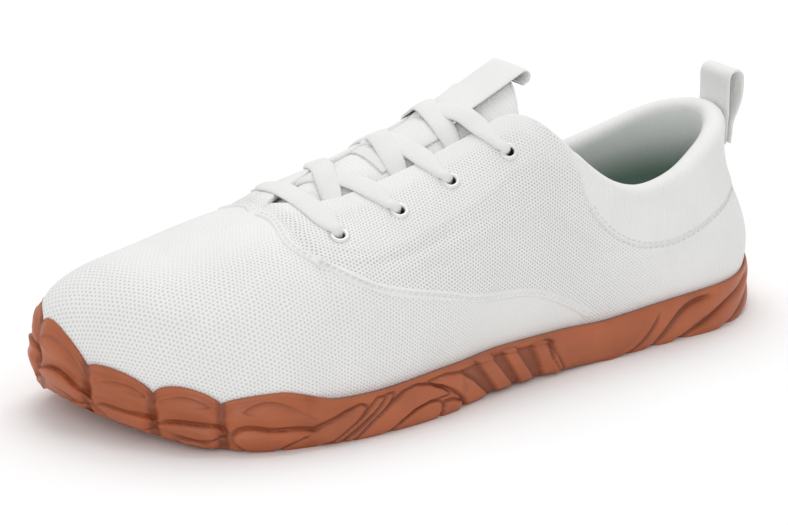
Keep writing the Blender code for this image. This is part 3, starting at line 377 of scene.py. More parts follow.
def creases(station, rise):
    """Height of the creases over the smooth form of the last."""
    side = signed(station)
    height = np.zeros(np.broadcast(side, rise).shape)
    for middle, level, long, wide, depth, turn in CREASES:
        u = (side - middle) / long + turn * (rise - level) / wide * 0.5
        v = (rise - level) / wide - turn * (side - middle) / long * 0.5
        height += depth * np.exp(-(u * u + v * v))
    return height * smoothstep(0.02, 0.20, rise) * (1 - smoothstep(0.85, 0.97, rise))


# U-shaped seam that bounds the padded collar: station and rise
COLLAR_SEAM = [
    (0.000, 0.60), (0.101, 0.640), (0.189, 0.606), (0.230, 0.615), (0.270, 0.660), (0.306, 0.720),
    (0.334, 0.790), (0.350, 0.880), (0.360, 0.960),
]


def collar_line(station):
    """Rise of the collar's seam; out of reach where there is no collar."""
    return read_table(COLLAR_SEAM, np.abs(signed(station)), right=1.2)


def collar_step(station, rise):
    """The padded collar stands a little proud of the quarter, above a stitched groove."""
    over = (rise - collar_line(station)) * 60 * MM
    reach = 1 - smoothstep(0.355, 0.375, np.abs(signed(station)))
    pad = 0.55 * MM * smoothstep(-1 * MM, 2.5 * MM, over)
    stitched = 0.7 * MM * np.exp(-((over / (0.8 * MM)) ** 2))
    return reach * (pad - stitched)


# Lower edge of the doubled band along the throat: station and rise
EYESTAY_EDGE = [
    (0.375, 0.900), (0.400, 0.850), (0.464, 0.700), (0.529, 0.680), (0.600, 0.680), (0.668, 0.720),
]
EYESTAY_STEP = 0.35 * MM


def eyestay_step(station, rise):
    """Doubled band of knit along the throat, a shallow step over the quarter."""
    side = np.abs(signed(station))
    line = read_table(EYESTAY_EDGE, side, left=1.2, right=1.2)
    return EYESTAY_STEP * smoothstep(-0.008, 0.010, rise - line) * (1 - smoothstep(0.64, 0.668, side))


def upper_skin(station, rise):
    """Outer face as sewn: the last's form with its creases and steps."""
    height = creases(station, rise) + collar_step(station, rise) + eyestay_step(station, rise)
    return upper_point(station, rise) + upper_normal(station, rise) * height[..., None]


def new_object(name, data):
    """An object at the origin, linked to the scene."""
    thing = bpy.data.objects.new(name, data)
    bpy.context.scene.collection.objects.link(thing)
    return thing


def mesh_object(name, points, faces, materials, face_material=None):
    """A smoothly shaded mesh object at the origin, from points and faces."""
    mesh = bpy.data.meshes.new(name)
    mesh.from_pydata(np.asarray(points, float).tolist(), [], faces)
    for finish in materials:
        mesh.materials.append(finish)
    if face_material is not None:
        mesh.polygons.foreach_set("material_index", np.asarray(face_material, np.int32))
    mesh.shade_smooth()
    return new_object(name, mesh)


def merge_points(thing, distance=1e-6):
    """Makes one point of each group of points that lie in one place."""
    work = bmesh.new()
    work.from_mesh(thing.data)
    bmesh.ops.remove_doubles(work, verts=work.verts[:], dist=distance)
    bmesh.ops.dissolve_degenerate(work, edges=work.edges[:], dist=distance)
    work.to_mesh(thing.data)
    work.free()


def face_outward(thing):
    """Turns the faces of a closed piece outwards."""
    work = bmesh.new()
    work.from_mesh(thing.data)
    bmesh.ops.recalc_face_normals(work, faces=work.faces[:])
    work.to_mesh(thing.data)
    work.free()


def tree_of(thing):
    """Search tree of a piece's faces, to find where a line meets them."""
    mesh = thing.data
    return BVHTree.FromPolygons([v.co for v in mesh.vertices], [f.vertices for f in mesh.polygons])


def corner_points(thing):
    """Index of the point at each corner of a piece's faces."""
    corner = np.zeros(len(thing.data.loops), np.int32)
    thing.data.loops.foreach_get("vertex_index", corner)
    return corner


def lay_cloth(thing, coordinates):
    """Flat cloth coordinates for each corner of a piece's faces, as its UV map."""
    layer = thing.data.uv_layers.new(name="cloth")
    layer.data.foreach_set("uv", np.asarray(coordinates, float).ravel())


def store(thing, name, values):
    """Float attribute on a piece's points."""
    attribute = thing.data.attributes.new(name, "FLOAT", "POINT")
    attribute.data.foreach_set("value", np.asarray(values, np.float32))


def face_grid(rows, columns, start=0, closed=False, flip=False):
    """Quads between rows of points that lie one after another."""
    faces = []
    for i in range(rows - 1):
        for k in range(columns if closed else columns - 1):
            m = (k + 1) % columns
            a, b = start + i * columns + k, start + i * columns + m
            quad = [a, b, b + columns, a + columns]
            faces.append(quad[::-1] if flip else quad)
    return faces


def new_group(name, inputs, outputs):
    """Empty shader group with named sockets: its inner ends, and a helper that adds Math nodes."""
    group = bpy.data.node_groups.new(name, "ShaderNodeTree")
    for socket in inputs:
        kind = "NodeSocketVector" if socket == "Cloth" else "NodeSocketFloat"
        group.interface.new_socket(socket, in_out="INPUT", socket_type=kind)
    for socket in outputs:
        group.interface.new_socket(socket, in_out="OUTPUT", socket_type="NodeSocketFloat")

    def calc(operation, a, b=None, clamp=False):
        node = group.nodes.new("ShaderNodeMath")
        node.operation = operation
        node.use_clamp = clamp
        for socket, value in zip(node.inputs, (a, b)):
            if isinstance(value, (int, float)):
                socket.default_value = value
            elif value is not None:
                group.links.new(value, socket)
        return node.outputs[0]

    inside = group.nodes.new("NodeGroupInput").outputs
    out = group.nodes.new("NodeGroupOutput").inputs
    return group, inside, out, calc


def knit_group():
    """Shader group: staggered open holes where the knit is open, fine upright ribs where dense."""
    sockets = ["Cloth", "Pitch", "Hole Size", "Openness", "Wale"]
    group, inside, out, calc = new_group("knit_holes", sockets, ["Hole", "Height"])
    nodes, links = group.nodes, group.links
    drift = nodes.new("ShaderNodeTexNoise")
    drift.inputs["Scale"].default_value = 160
    drift.inputs["Detail"].default_value = 2
    links.new(inside["Cloth"], drift.inputs["Vector"])
    split = nodes.new("ShaderNodeSeparateXYZ")
    links.new(inside["Cloth"], split.inputs[0])
    wander = calc("MULTIPLY", calc("SUBTRACT", drift.outputs["Fac"], 0.5), 0.9)
    u = calc("ADD", calc("DIVIDE", split.outputs[0], inside["Pitch"]), wander)
    v = calc("ADD", calc("DIVIDE", split.outputs[1], inside["Pitch"]), wander)
    v = calc("DIVIDE", v, math.sqrt(3))
    nearest = None
    for shift in (0.0, 0.5):
        du = calc("SUBTRACT", calc("FRACT", calc("ADD", u, shift)), 0.5)
        dv = calc("SUBTRACT", calc("FRACT", calc("ADD", v, shift)), 0.5)
        dv = calc("MULTIPLY", dv, math.sqrt(3) * 1.15)
        distance = calc("SQRT", calc("ADD", calc("MULTIPLY", du, du), calc("MULTIPLY", dv, dv)))
        nearest = distance if nearest is None else calc("MINIMUM", nearest, distance)
    edge = calc("SUBTRACT", inside["Hole Size"], nearest)
    hole = calc("MULTIPLY", calc("DIVIDE", edge, 0.14, clamp=True), inside["Openness"])
    loops_u = calc("ABSOLUTE", calc("SINE", calc("MULTIPLY", u, math.pi * 2)))
    loops_v = calc("ABSOLUTE", calc("SINE", calc("MULTIPLY", v, math.pi * 2 * math.sqrt(3))))
    loops = calc("MULTIPLY", calc("MULTIPLY", loops_u, loops_v), 0.2)
    bowl = calc("MULTIPLY", calc("SUBTRACT", 0.55, nearest), inside["Openness"])
    rib = calc("MULTIPLY", calc("DIVIDE", inside["Wale"], RIB_PITCH), math.pi)
    rib = calc("POWER", calc("ABSOLUTE", calc("SINE", rib)), 0.6)
    rib = calc("MULTIPLY", rib, calc("SUBTRACT", 1.0, inside["Openness"], clamp=True))
    height = calc("SUBTRACT", loops, calc("MULTIPLY", hole, 0.8))
    height = calc("SUBTRACT", height, calc("MULTIPLY", bowl, 0.8))
    height = calc("ADD", height, calc("MULTIPLY", rib, 0.65))
    links.new(hole, out["Hole"])
    links.new(height, out["Height"])
    return group


RIB_PITCH = 1.15 * MM
knit_holes = knit_group()


def new_material(name, colour, roughness, metallic=0.0, sheen=0.0):
    """A material and its Principled BSDF."""
    finish = bpy.data.materials.new(name)
    finish.use_nodes = True
    shader = finish.node_tree.nodes["Principled BSDF"]
    shader.inputs["Base Color"].default_value = (*colour, 1)
    shader.inputs["Roughness"].default_value = roughness
    shader.inputs["Metallic"].default_value = metallic
    shader.inputs["Sheen Weight"].default_value = sheen
    return finish, shader


def noise(finish, scale, detail):
    """Noise in the piece's own coordinates."""
    nodes, links = finish.node_tree.nodes, finish.node_tree.links
    place = nodes.new("ShaderNodeTexCoord")
    cloud = nodes.new("ShaderNodeTexNoise")
    cloud.inputs["Scale"].default_value = scale
    cloud.inputs["Detail"].default_value = detail
    links.new(place.outputs["Object"], cloud.inputs["Vector"])
    return cloud.outputs["Fac"]


def tone(finish, shader, colour_socket, scale, low):
    """Slight unevenness of colour over a piece, from its full colour down to a low share."""
    nodes, links = finish.node_tree.nodes, finish.node_tree.links
    shade = nodes.new("ShaderNodeMapRange")
    for socket, value in (("From Min", 0.35), ("From Max", 0.65), ("To Min", low), ("To Max", 1.0)):
        shade.inputs[socket].default_value = value
    links.new(noise(finish, scale, 4), shade.inputs["Value"])
    toned = nodes.new("ShaderNodeMix")
    toned.data_type = "RGBA"
    toned.blend_type = "MULTIPLY"
    toned.inputs["Factor"].default_value = 1.0
    links.new(colour_socket, toned.inputs["A"])
    links.new(shade.outputs["Result"], toned.inputs["B"])
    links.new(toned.outputs["Result"], shader.inputs["Base Color"])


def mix_colours(finish, light, dark, share):
    """Mix node from a light to a dark colour by a share that changes over the surface."""
    base = finish.node_tree.nodes.new("ShaderNodeMix")
    base.data_type = "RGBA"
    base.inputs["A"].default_value = (*light, 1)
    base.inputs["B"].default_value = (*dark, 1)
    finish.node_tree.links.new(share, base.inputs["Factor"])
    return base.outputs["Result"]


def bump(finish, shader, height, strength, distance):
    """Fine relief of a piece's surface."""
    relief = finish.node_tree.nodes.new("ShaderNodeBump")
    relief.inputs["Strength"].default_value = strength
    relief.inputs["Distance"].default_value = distance
    finish.node_tree.links.new(height, relief.inputs["Height"])
    finish.node_tree.links.new(relief.outputs["Normal"], shader.inputs["Normal"])


def attribute_socket(finish, name):
    """A value that the piece carries on its points."""
    node = finish.node_tree.nodes.new("ShaderNodeAttribute")
    node.attribute_name = name
    return node.outputs["Fac"]


def cloth_pattern(finish, group, pitch):
    """A pattern group laid on the piece's flat cloth coordinates."""
    nodes, links = finish.node_tree.nodes, finish.node_tree.links
    cloth = nodes.new("ShaderNodeUVMap")
    cloth.uv_map = "cloth"
    pattern_node = nodes.new("ShaderNodeGroup")
    pattern_node.node_tree = group
    pattern_node.inputs["Pitch"].default_value = pitch
    links.new(cloth.outputs["UV"], pattern_node.inputs["Cloth"])
    return pattern_node


def knit_material(name, light, dark, pitch, hole_size, strength, deep=None):
    """Knitted cloth: open holes painted dark as painted shade seen through them, or upright ribs, and
    slight unevenness of colour. A deep colour, if given, darkens it further inside the shoe: partly the
    lining's grey-green and partly painted shade.
    """
    finish, shader = new_material(name, light, 0.85, sheen=0.15)
    links = finish.node_tree.links
    knit = cloth_pattern(finish, knit_holes, pitch)
    knit.inputs["Hole Size"].default_value = hole_size
    links.new(attribute_socket(finish, "openness"), knit.inputs["Openness"])
    links.new(attribute_socket(finish, "wale"), knit.inputs["Wale"])
    # Painted shade: the open holes take the dark colour, for the shade seen through them
    cloth_colour = mix_colours(finish, light, dark, knit.outputs["Hole"])
    # Painted shade and tint: with a deep colour, the cloth turns from light to deep grey-green further
    # inside the shoe
    if deep is not None:
        deep_tint_and_shade = mix_colours(finish, light, deep, attribute_socket(finish, "depth"))
        links.new(deep_tint_and_shade, cloth_colour.node.inputs["A"])
    tone(finish, shader, cloth_colour, 45, 0.965)
    bump(finish, shader, knit.outputs["Height"], strength, 0.4 * MM)
    return finish


# The hole colours are painted shade seen through the knit's open holes
KNIT_LIGHT, KNIT_HOLE_SHADE = (0.83, 0.83, 0.82), (0.50, 0.52, 0.52)
# The lining's deep colour is partly its own grey-green and partly painted shade deep in the shoe
LINING_LIGHT, LINING_HOLE_SHADE, LINING_DEEP_TINT_AND_SHADE = (0.80, 0.82, 0.80), (0.26, 0.34, 0.30), (0.28, 0.40, 0.33)
knit_white = knit_material("knit_white", KNIT_LIGHT, KNIT_HOLE_SHADE, 1.38 * MM, 0.32, 0.5)
lining_grey = knit_material(
    "lining_grey_green", LINING_LIGHT, LINING_HOLE_SHADE, 1.1 * MM, 0.30, 0.4, LINING_DEEP_TINT_AND_SHADE
)


UPPER_COLUMNS = 440
UPPER_ROWS = 104
INNER_ROWS = 30
half_columns = UPPER_COLUMNS // 2
closed_from = int(math.ceil(THROAT_END * half_columns))
upper_stations = 2 * np.arange(UPPER_COLUMNS) / UPPER_COLUMNS
outer_rises = np.linspace(0, 1, UPPER_ROWS)
inner_rises = np.linspace(0, 1, INNER_ROWS)

outer_face = upper_skin(*np.meshgrid(upper_stations, outer_rises))
over_vamp = slice(closed_from, UPPER_COLUMNS - closed_from + 1)
outer_face[-1, over_vamp] = upper_point(upper_stations[over_vamp], 1.0)

# The two sides run into each other in one round sweep over the toes
over_toes = np.arange(closed_from, half_columns + 1)
soften = 1 - smoothstep(TOE_STATION - 0.12, TOE_STATION - 0.02, upper_stations[over_toes])
from_row = int(0.82 * UPPER_ROWS)
sweep = np.concatenate([outer_face[from_row:, over_toes], outer_face[from_row:-1, -over_toes][::-1]])
sweep += (eased(sweep, 30) - sweep) * soften[None, :, None]
rows_above = UPPER_ROWS - from_row
outer_face[from_row:, over_toes] = sweep[:rows_above]
outer_face[from_row:, -over_toes] = sweep[rows_above - 1:][::-1]

# Lining, a wall's thickness inside the outer face
around, up = np.meshgrid(upper_stations, inner_rises)
inner_normal = upper_normal(around, up)
mirrored = (-np.arange(UPPER_COLUMNS)) % UPPER_COLUMNS
closed = np.abs(signed(upper_stations)) >= THROAT_END
joint = unit(inner_normal[-1] + inner_normal[-1][mirrored])
inner_normal[-1][closed] = joint[closed]
at_pole = np.abs(signed(upper_stations)) >= TOE_STATION
inner_normal[-1][at_pole] = unit(inner_normal[-1][at_pole].mean(0))
inner_face = upper_point(around, up) - inner_normal * wall_thickness(around, up)[..., None]

points = np.concatenate([outer_face.reshape(-1, 3), inner_face.reshape(-1, 3)])
inner_start = UPPER_ROWS * UPPER_COLUMNS
faces = face_grid(UPPER_ROWS, UPPER_COLUMNS, 0, True)
outer_count = len(faces)
faces += face_grid(INNER_ROWS, UPPER_COLUMNS, inner_start, True, True)
for i in range(UPPER_COLUMNS):
    j = (i + 1) % UPPER_COLUMNS
    faces.append([inner_start + i, inner_start + j, j, i])
lining_count = len(faces) - outer_count

# Rolled edge round collar and throat
RIM_TURNS = np.radians([22, 45, 67, 90, 113, 135, 158])
rim_columns = list(range(0, closed_from + 1)) + list(range(UPPER_COLUMNS - closed_from + 1, UPPER_COLUMNS))
top_outer = outer_face[-1][rim_columns]
top_inner = inner_face[-1][rim_columns]
rim_stations = upper_stations[rim_columns]
rim_travel = unit(upper_point(rim_stations, 1.0) - upper_point(rim_stations, 0.97))
rim_travel[closed_from] = (0, 1, 0)
middle, arm = (top_outer + top_inner) / 2, (top_outer - top_inner) / 2
reach = np.linalg.norm(arm, axis=1, keepdims=True) * rim_travel
rim_start = len(points)
rim_points = [middle + arm * math.cos(a) + reach * math.sin(a) for a in RIM_TURNS]
points = np.concatenate([points] + rim_points)
rim_size = len(rim_columns)
top_row = (UPPER_ROWS - 1) * UPPER_COLUMNS
inner_top = inner_start + (INNER_ROWS - 1) * UPPER_COLUMNS
rim_rows = [rim_start + t * rim_size + np.arange(rim_size) for t in range(len(RIM_TURNS))]
rim_rows = np.array([top_row + np.array(rim_columns)] + rim_rows + [inner_top + np.array(rim_columns)])
rim_faces = []
for k in range(rim_size):
    here, beyond = rim_rows[:, k].tolist(), rim_rows[:, (k + 1) % rim_size].tolist()
    for t in range(len(here) - 1):
        rim_faces.append([here[t], beyond[t], beyond[t + 1], here[t + 1]])
faces += rim_faces
kinds = [0] * outer_count + [1] * lining_count + [0] * len(rim_faces)
upper = mesh_object("knit_upper", points, faces, [knit_white, lining_grey], kinds)


def flat_pattern(columns, rows):
    """The knit laid flat without stretching it: cloth coordinates over stations and rises."""
    stations = np.linspace(0, 2, columns + 1)
    rises = np.linspace(0, 1, rows)
    grid = upper_point(stations[None, :], rises[:, None])
    index = np.arange(rows * (columns + 1)).reshape(rows, columns + 1)
    for i in range(columns + 1):
        if abs(signed(stations[i])) >= THROAT_END:
            index[-1, i] = index[-1, min(i, columns - i, int(TOE_STATION * columns / 2))]
    quads = []
    for r in range(rows - 1):
        for i in range(columns):
            quad = [index[r, i], index[r, i + 1], index[r + 1, i + 1], index[r + 1, i]]
            quad = [c for k, c in enumerate(quad) if c != quad[k - 1]]
            if len(quad) > 2:
                quads.append([int(c) for c in quad])
    thing = mesh_object("pattern", grid.reshape(-1, 3), quads, [])
    mesh = thing.data
    mesh.uv_layers.new(name="cloth")
    bpy.context.view_layer.objects.active = thing
    thing.select_set(True)
    bpy.ops.object.mode_set(mode="EDIT")
    bpy.ops.mesh.select_all(action="SELECT")
    bpy.ops.uv.unwrap(method="ANGLE_BASED", margin=0)
    bpy.ops.object.mode_set(mode="OBJECT")
    loops = np.zeros(len(mesh.loops) * 2)
    mesh.uv_layers["cloth"].data.foreach_get("uv", loops)
    uv = np.zeros((rows * (columns + 1), 2))
    uv[corner_points(thing)] = loops.reshape(-1, 2)
    uv = uv[index.ravel()].reshape(rows, columns + 1, 2)
    middle_row = rows // 3
    real, flat = run_of(grid[middle_row])[-1], run_of(uv[middle_row])[-1]
    bpy.data.objects.remove(thing)
    bpy.data.meshes.remove(mesh)
    return uv * real / flat


PATTERN_COLUMNS = 160
PATTERN_ROWS = 36
pattern = flat_pattern(PATTERN_COLUMNS, PATTERN_ROWS)


def cloth_at(station, rise):
    """Cloth coordinates at stations 0..2 and rises, from the flat pattern."""
    s = np.clip(np.asarray(station) / 2 * PATTERN_COLUMNS, 0, PATTERN_COLUMNS - 1e-6)
    r = np.clip(np.asarray(rise) * (PATTERN_ROWS - 1), 0, PATTERN_ROWS - 1 - 1e-6)
    i, k = s.astype(int), r.astype(int)
    a, b = (s - i)[..., None], (r - k)[..., None]
    low = pattern[k, i] * (1 - a) + pattern[k, i + 1] * a
    high = pattern[k + 1, i] * (1 - a) + pattern[k + 1, i + 1] * a
    return low * (1 - b) + high * b


# Path of the vamp seam from the end of the throat down to the sole: station and rise
SEAM_PATH = [
    (0.679, 0.992), (0.676, 0.955), (0.674, 0.900), (0.680, 0.810), (0.680, 0.735), (0.668, 0.650),
    (0.650, 0.575), (0.620, 0.500), (0.580, 0.425), (0.538, 0.350), (0.500, 0.285), (0.455, 0.240),
    (0.410, 0.222), (0.378, 0.195), (0.354, 0.160), (0.338, 0.125),
]
SEAM_SIDE = SEAM_PATH[14:3:-1]


def seam_rise(station):
    """Rise of the vamp seam at a station, on either side."""
    return read_table(SEAM_SIDE, np.abs(signed(station)), left=0, right=2)


def openness(station, rise):
    """1 where the knit has open holes, 0 where it is dense."""
    side = np.abs(signed(station))
    heel = smoothstep(0.14, 0.42, side)
    line = read_table(COLLAR_SEAM + [(0.400, 1.05)], side)
    collar = 1 - smoothstep(-0.06, 0.03, rise - line) * (1 - smoothstep(0.36, 0.42, side))
    band = 1 - 0.25 * smoothstep(0.0, 0.5, eyestay_step(station, rise) / EYESTAY_STEP)
    beside_throat = smoothstep(0.40, 0.44, side) * (1 - smoothstep(0.65, 0.70, side))
    throat = 1 - 0.8 * smoothstep(0.90, 0.96, rise) * beside_throat
    below = (rise < seam_rise(station)) & (side < 0.55)
    foxing = np.where(below, smoothstep(0.46, 0.54, side), 1.0)
    edge = smoothstep(0.0, 0.03, rise)
    vamp = np.maximum(smoothstep(0.66, 0.70, side), smoothstep(-0.01, 0.01, seam_rise(station) - rise))
    vamp_share = 1 - vamp * (0.35 + 0.4 * smoothstep(0.70, 0.90, rise))
    return 0.95 * heel * collar * band * throat * foxing * edge * vamp_share


# Station and rise of each point; a face that closes the ring at the heel reads station 2 there
vertex_station = np.zeros(len(points))
vertex_rise = np.ones(len(points))
vertex_station[:inner_start] = np.tile(upper_stations, UPPER_ROWS)
vertex_rise[:inner_start] = np.repeat(outer_rises, UPPER_COLUMNS)
vertex_station[inner_start:rim_start] = np.tile(upper_stations, INNER_ROWS)
vertex_rise[inner_start:rim_start] = np.repeat(inner_rises, UPPER_COLUMNS)
vertex_station[rim_start:] = np.tile(upper_stations[rim_columns], len(RIM_TURNS))
corner = corner_points(upper)
corner_station = vertex_station[corner].reshape(-1, 4)
wraps = (corner_station < 0.01) & (corner_station.max(1, keepdims=True) > 1.5)
corner_station = np.where(wraps, 2.0, corner_station).ravel()
lay_cloth(upper, cloth_at(corner_station, vertex_rise[corner]))
open_share = openness(vertex_station, vertex_rise)
open_share[rim_start:] = 0
# The lining turns from off-white at its top to the deep grey-green further down: partly its own colour,
# partly painted shade
depth = 1 - smoothstep(0.58, 0.90, vertex_rise)
depth[:inner_start] = 0
open_share[inner_start:rim_start] = 0.6 * (1 - smoothstep(0.80, 0.92, vertex_rise[inner_start:rim_start]))
store(upper, "openness", open_share)
store(upper, "depth", depth)
belt_stations = np.linspace(0, 2, 801)
belt_length = run_of(upper_point(belt_stations, 0.45))
ribbed_to = np.minimum(np.abs(signed(vertex_station)), 0.66)
store(upper, "wale", np.interp(ribbed_to, belt_stations, belt_length))
merge_points(upper)
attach(upper, "root")
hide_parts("upper")
upper_tree = tree_of(upper)


# Outsole
#
# A cup of gum rubber moulded in one piece: thin and flat underfoot, with a side wall that
# swells into a lobe over each toe and carries slanting blades along the foot.
# The moulded blades and leaves are cut by narrow grooves, and the tread has low bars.

SIDE_HEIGHT = 17 * MM
LOBE_RISE = 5 * MM
RIM_THICKNESS = 1.0 * MM
# Height of the side wall round the sole: station, share of SIDE_HEIGHT
SIDE_HEIGHTS = [
    (0.000, 0.98), (0.150, 1.00), (0.240, 0.94), (0.320, 0.85), (0.400, 0.86), (0.480, 0.92),
    (0.560, 0.95), (0.640, 0.87), (0.700, 0.90), (0.795, 0.92), (0.870, 0.88), (0.970, 0.96),
    (1.055, 1.42), (1.120, 1.45), (1.190, 1.05), (1.280, 0.92), (1.440, 0.94), (1.560, 0.92),
    (1.680, 0.90), (1.850, 1.00),
]
# Swollen lobe over each toe: station where it starts, where it ends, how full it is
LOBES = [
    (0.672, 0.795, 0.9), (0.795, 0.870, 0.9), (0.870, 0.970, 0.9), (0.970, 1.055, 0.9), (1.055, 1.190, 1.0),
]

# Moulded pads, blades and ribs of the side. Each row: how proud, how deep the groove round
# it, whether its corners are rounded, and its corners as station and share of the height.
PADS = [
    (1.5 * MM, 0.2 * MM, True, [(0.785, 0.33), (0.779, 0.43), (0.753, 0.39), (0.712, 0.37), (0.706, 0.34),
                                (0.724, 0.18), (0.740, 0.03), (0.755, -0.05), (0.775, 0.02)]),
    (1.5 * MM, 0.2 * MM, True, [(0.862, 0.27), (0.841, 0.36), (0.810, 0.43), (0.797, 0.46), (0.792, 0.36),
                                (0.803, 0.18), (0.821, 0.13), (0.840, 0.15)]),
    (1.3 * MM, 0.3 * MM, True, [(0.842, 0.07), (0.821, 0.07), (0.805, 0.13), (0.792, 0.26), (0.792, 0.10),
                                (0.806, -0.06), (0.826, -0.08)]),
    (1.5 * MM, 0.2 * MM, True, [(0.948, 0.20), (0.918, 0.28), (0.887, 0.34), (0.869, 0.32), (0.872, 0.15),
                                (0.892, 0.03), (0.917, 0.01), (0.938, 0.06)]),
    (1.3 * MM, 0.3 * MM, True, [(0.915, -0.04), (0.890, -0.01), (0.869, 0.08), (0.868, -0.06),
                                (0.890, -0.10)]),
    (1.5 * MM, 0.2 * MM, True, [(1.046, 0.22), (1.022, 0.36), (0.997, 0.37), (0.975, 0.33), (0.958, 0.22),
                                (0.970, 0.13), (0.992, 0.10), (1.020, 0.12)]),
    (1.3 * MM, 0.3 * MM, True, [(1.012, 0.03), (0.985, 0.06), (0.958, 0.14), (0.955, -0.02),
                                (0.985, -0.08)]),
    (1.6 * MM, 0.2 * MM, True, [(1.050, 0.40), (1.075, 0.52), (1.110, 0.52), (1.150, 0.46), (1.178, 0.28),
                                (1.160, 0.08), (1.110, -0.02), (1.070, 0.06)]),
    (1.1 * MM, 0.8 * MM, False, [(0.739, 0.03), (0.707, 0.36), (0.673, 0.72), (0.656, 0.82), (0.650, 0.78),
                                 (0.662, 0.44), (0.682, 0.16), (0.704, -0.02), (0.724, -0.10),
                                 (0.742, -0.10)]),
    (0.9 * MM, 0.7 * MM, False, [(0.636, 0.88), (0.650, 0.63), (0.668, 0.36), (0.690, 0.04), (0.682, 0.04),
                                 (0.659, 0.36), (0.641, 0.63), (0.628, 0.88)]),
    (0.9 * MM, 0.7 * MM, False, [(0.624, 0.90), (0.641, 0.55), (0.658, 0.28), (0.676, 0.00), (0.668, 0.00),
                                 (0.650, 0.28), (0.633, 0.55), (0.617, 0.90)]),
    (1.0 * MM, 0.9 * MM, False, [(0.664, 0.00), (0.643, 0.39), (0.622, 0.70), (0.604, 0.86), (0.588, 0.90),
                                 (0.571, 0.82), (0.556, 0.66), (0.547, 0.49), (0.573, 0.50), (0.593, 0.42),
                                 (0.610, 0.24), (0.624, 0.06), (0.640, -0.10), (0.668, -0.10)]),
    (0.8 * MM, 0.7 * MM, False, [(0.618, 0.04), (0.605, 0.25), (0.590, 0.39), (0.573, 0.45), (0.560, 0.41),
                                 (0.557, 0.30), (0.561, -0.10), (0.620, -0.10)]),
    (0.7 * MM, 0.7 * MM, False, [(0.556, 0.06), (0.552, 0.32), (0.543, 0.33), (0.527, 0.20), (0.524, -0.10),
                                 (0.554, -0.10)]),
    (1.5 * MM, 0.5 * MM, False, [(0.573, 0.88), (0.550, 0.90), (0.528, 0.83), (0.511, 0.57), (0.490, 0.10),
                                 (0.494, -0.10), (0.515, -0.10), (0.525, 0.25), (0.541, 0.54),
                                 (0.557, 0.74)]),
    (1.7 * MM, 0.1 * MM, False, [(0.508, 1.00), (0.488, 1.02), (0.448, -0.10), (0.471, -0.10)]),
    (1.7 * MM, 0.1 * MM, False, [(0.470, 0.96), (0.452, 0.96), (0.419, -0.10), (0.439, -0.10)]),
    (1.7 * MM, 0.1 * MM, False, [(0.427, 0.90), (0.407, 0.92), (0.387, -0.10), (0.408, -0.10)]),
    (0.4 * MM, 0.7 * MM, False, [(0.409, 0.90), (0.403, 0.88), (0.383, 0.03), (0.389, 0.03)]),
]
# Sunk eye of each toe lobe: corners as station and share of the height
EYES = [
    [(0.776, 0.76), (0.764, 0.87), (0.752, 0.89), (0.731, 0.80), (0.712, 0.66), (0.701, 0.56),
     (0.731, 0.57), (0.759, 0.62)],
    [(0.860, 0.74), (0.844, 0.81), (0.824, 0.85), (0.804, 0.80), (0.820, 0.67), (0.843, 0.62)],
    [(0.952, 0.62), (0.928, 0.76), (0.908, 0.81), (0.888, 0.82), (0.877, 0.78), (0.900, 0.65),
     (0.932, 0.55)],
    [(1.044, 0.66), (1.028, 0.80), (1.006, 0.84), (0.984, 0.80), (0.975, 0.66), (1.000, 0.56),
     (1.025, 0.56)],
    [(1.070, 0.66), (1.090, 0.82), (1.120, 0.86), (1.155, 0.80), (1.168, 0.68), (1.130, 0.62)],
]
# Long grooves of the heel and the fine ridge beside them: height of relief, half width, path
SWEEPS = [
    (0.7 * MM, 0.8 * MM, [(0.258, 0.96), (0.260, 0.77), (0.266, 0.58), (0.276, 0.37), (0.288, 0.21),
                          (0.325, -0.05)]),
    (-0.9 * MM, 0.7 * MM, [(0.250, 0.96), (0.252, 0.77), (0.257, 0.58), (0.266, 0.37), (0.279, 0.17),
                           (0.300, -0.05)]),
    (-1.9 * MM, 1.1 * MM, [(0.160, 0.84), (0.190, 0.83), (0.212, 0.75), (0.225, 0.60), (0.236, 0.38),
                           (0.246, 0.20), (0.262, -0.08)]),
    (-2.1 * MM, 1.2 * MM, [(0.060, 0.86), (0.100, 0.76), (0.124, 0.67), (0.147, 0.57), (0.173, 0.38),
                           (0.192, 0.24), (0.222, -0.02)]),
    (-1.9 * MM, 1.1 * MM, [(-0.040, 0.80), (0.015, 0.70), (0.060, 0.52), (0.105, 0.28), (0.150, -0.04)]),
]
SOLE_COLUMNS = 960
SOLE_ROWS = 58

dense_arc = run_of(dense)
half_sole = SOLE_COLUMNS // 2
outer_part = dense_station <= 1
arc_at_toe = np.interp(1.0, dense_station[outer_part], dense_arc[outer_part])
even_arcs = np.linspace(0, arc_at_toe, half_sole + 1)
side_stations = np.interp(even_arcs, dense_arc[outer_part], dense_station[outer_part])
side_stations[0], side_stations[-1] = 0.0, 1.0
sole_stations = np.concatenate([side_stations, 2 - side_stations[-2:0:-1]])
order = np.argsort(dense_station)


def arc_of(station):
    """Distance round the sole's outline at stations 0..2."""
    return np.interp(station, dense_station[order], dense_arc[order])


def side_height(station):
    """Height of the side wall, its lobes left out."""
    table = np.array(SIDE_HEIGHTS)
    return SIDE_HEIGHT * spline(table[:, 0], table[:, 1], np.mod(station, 2), 2.0)


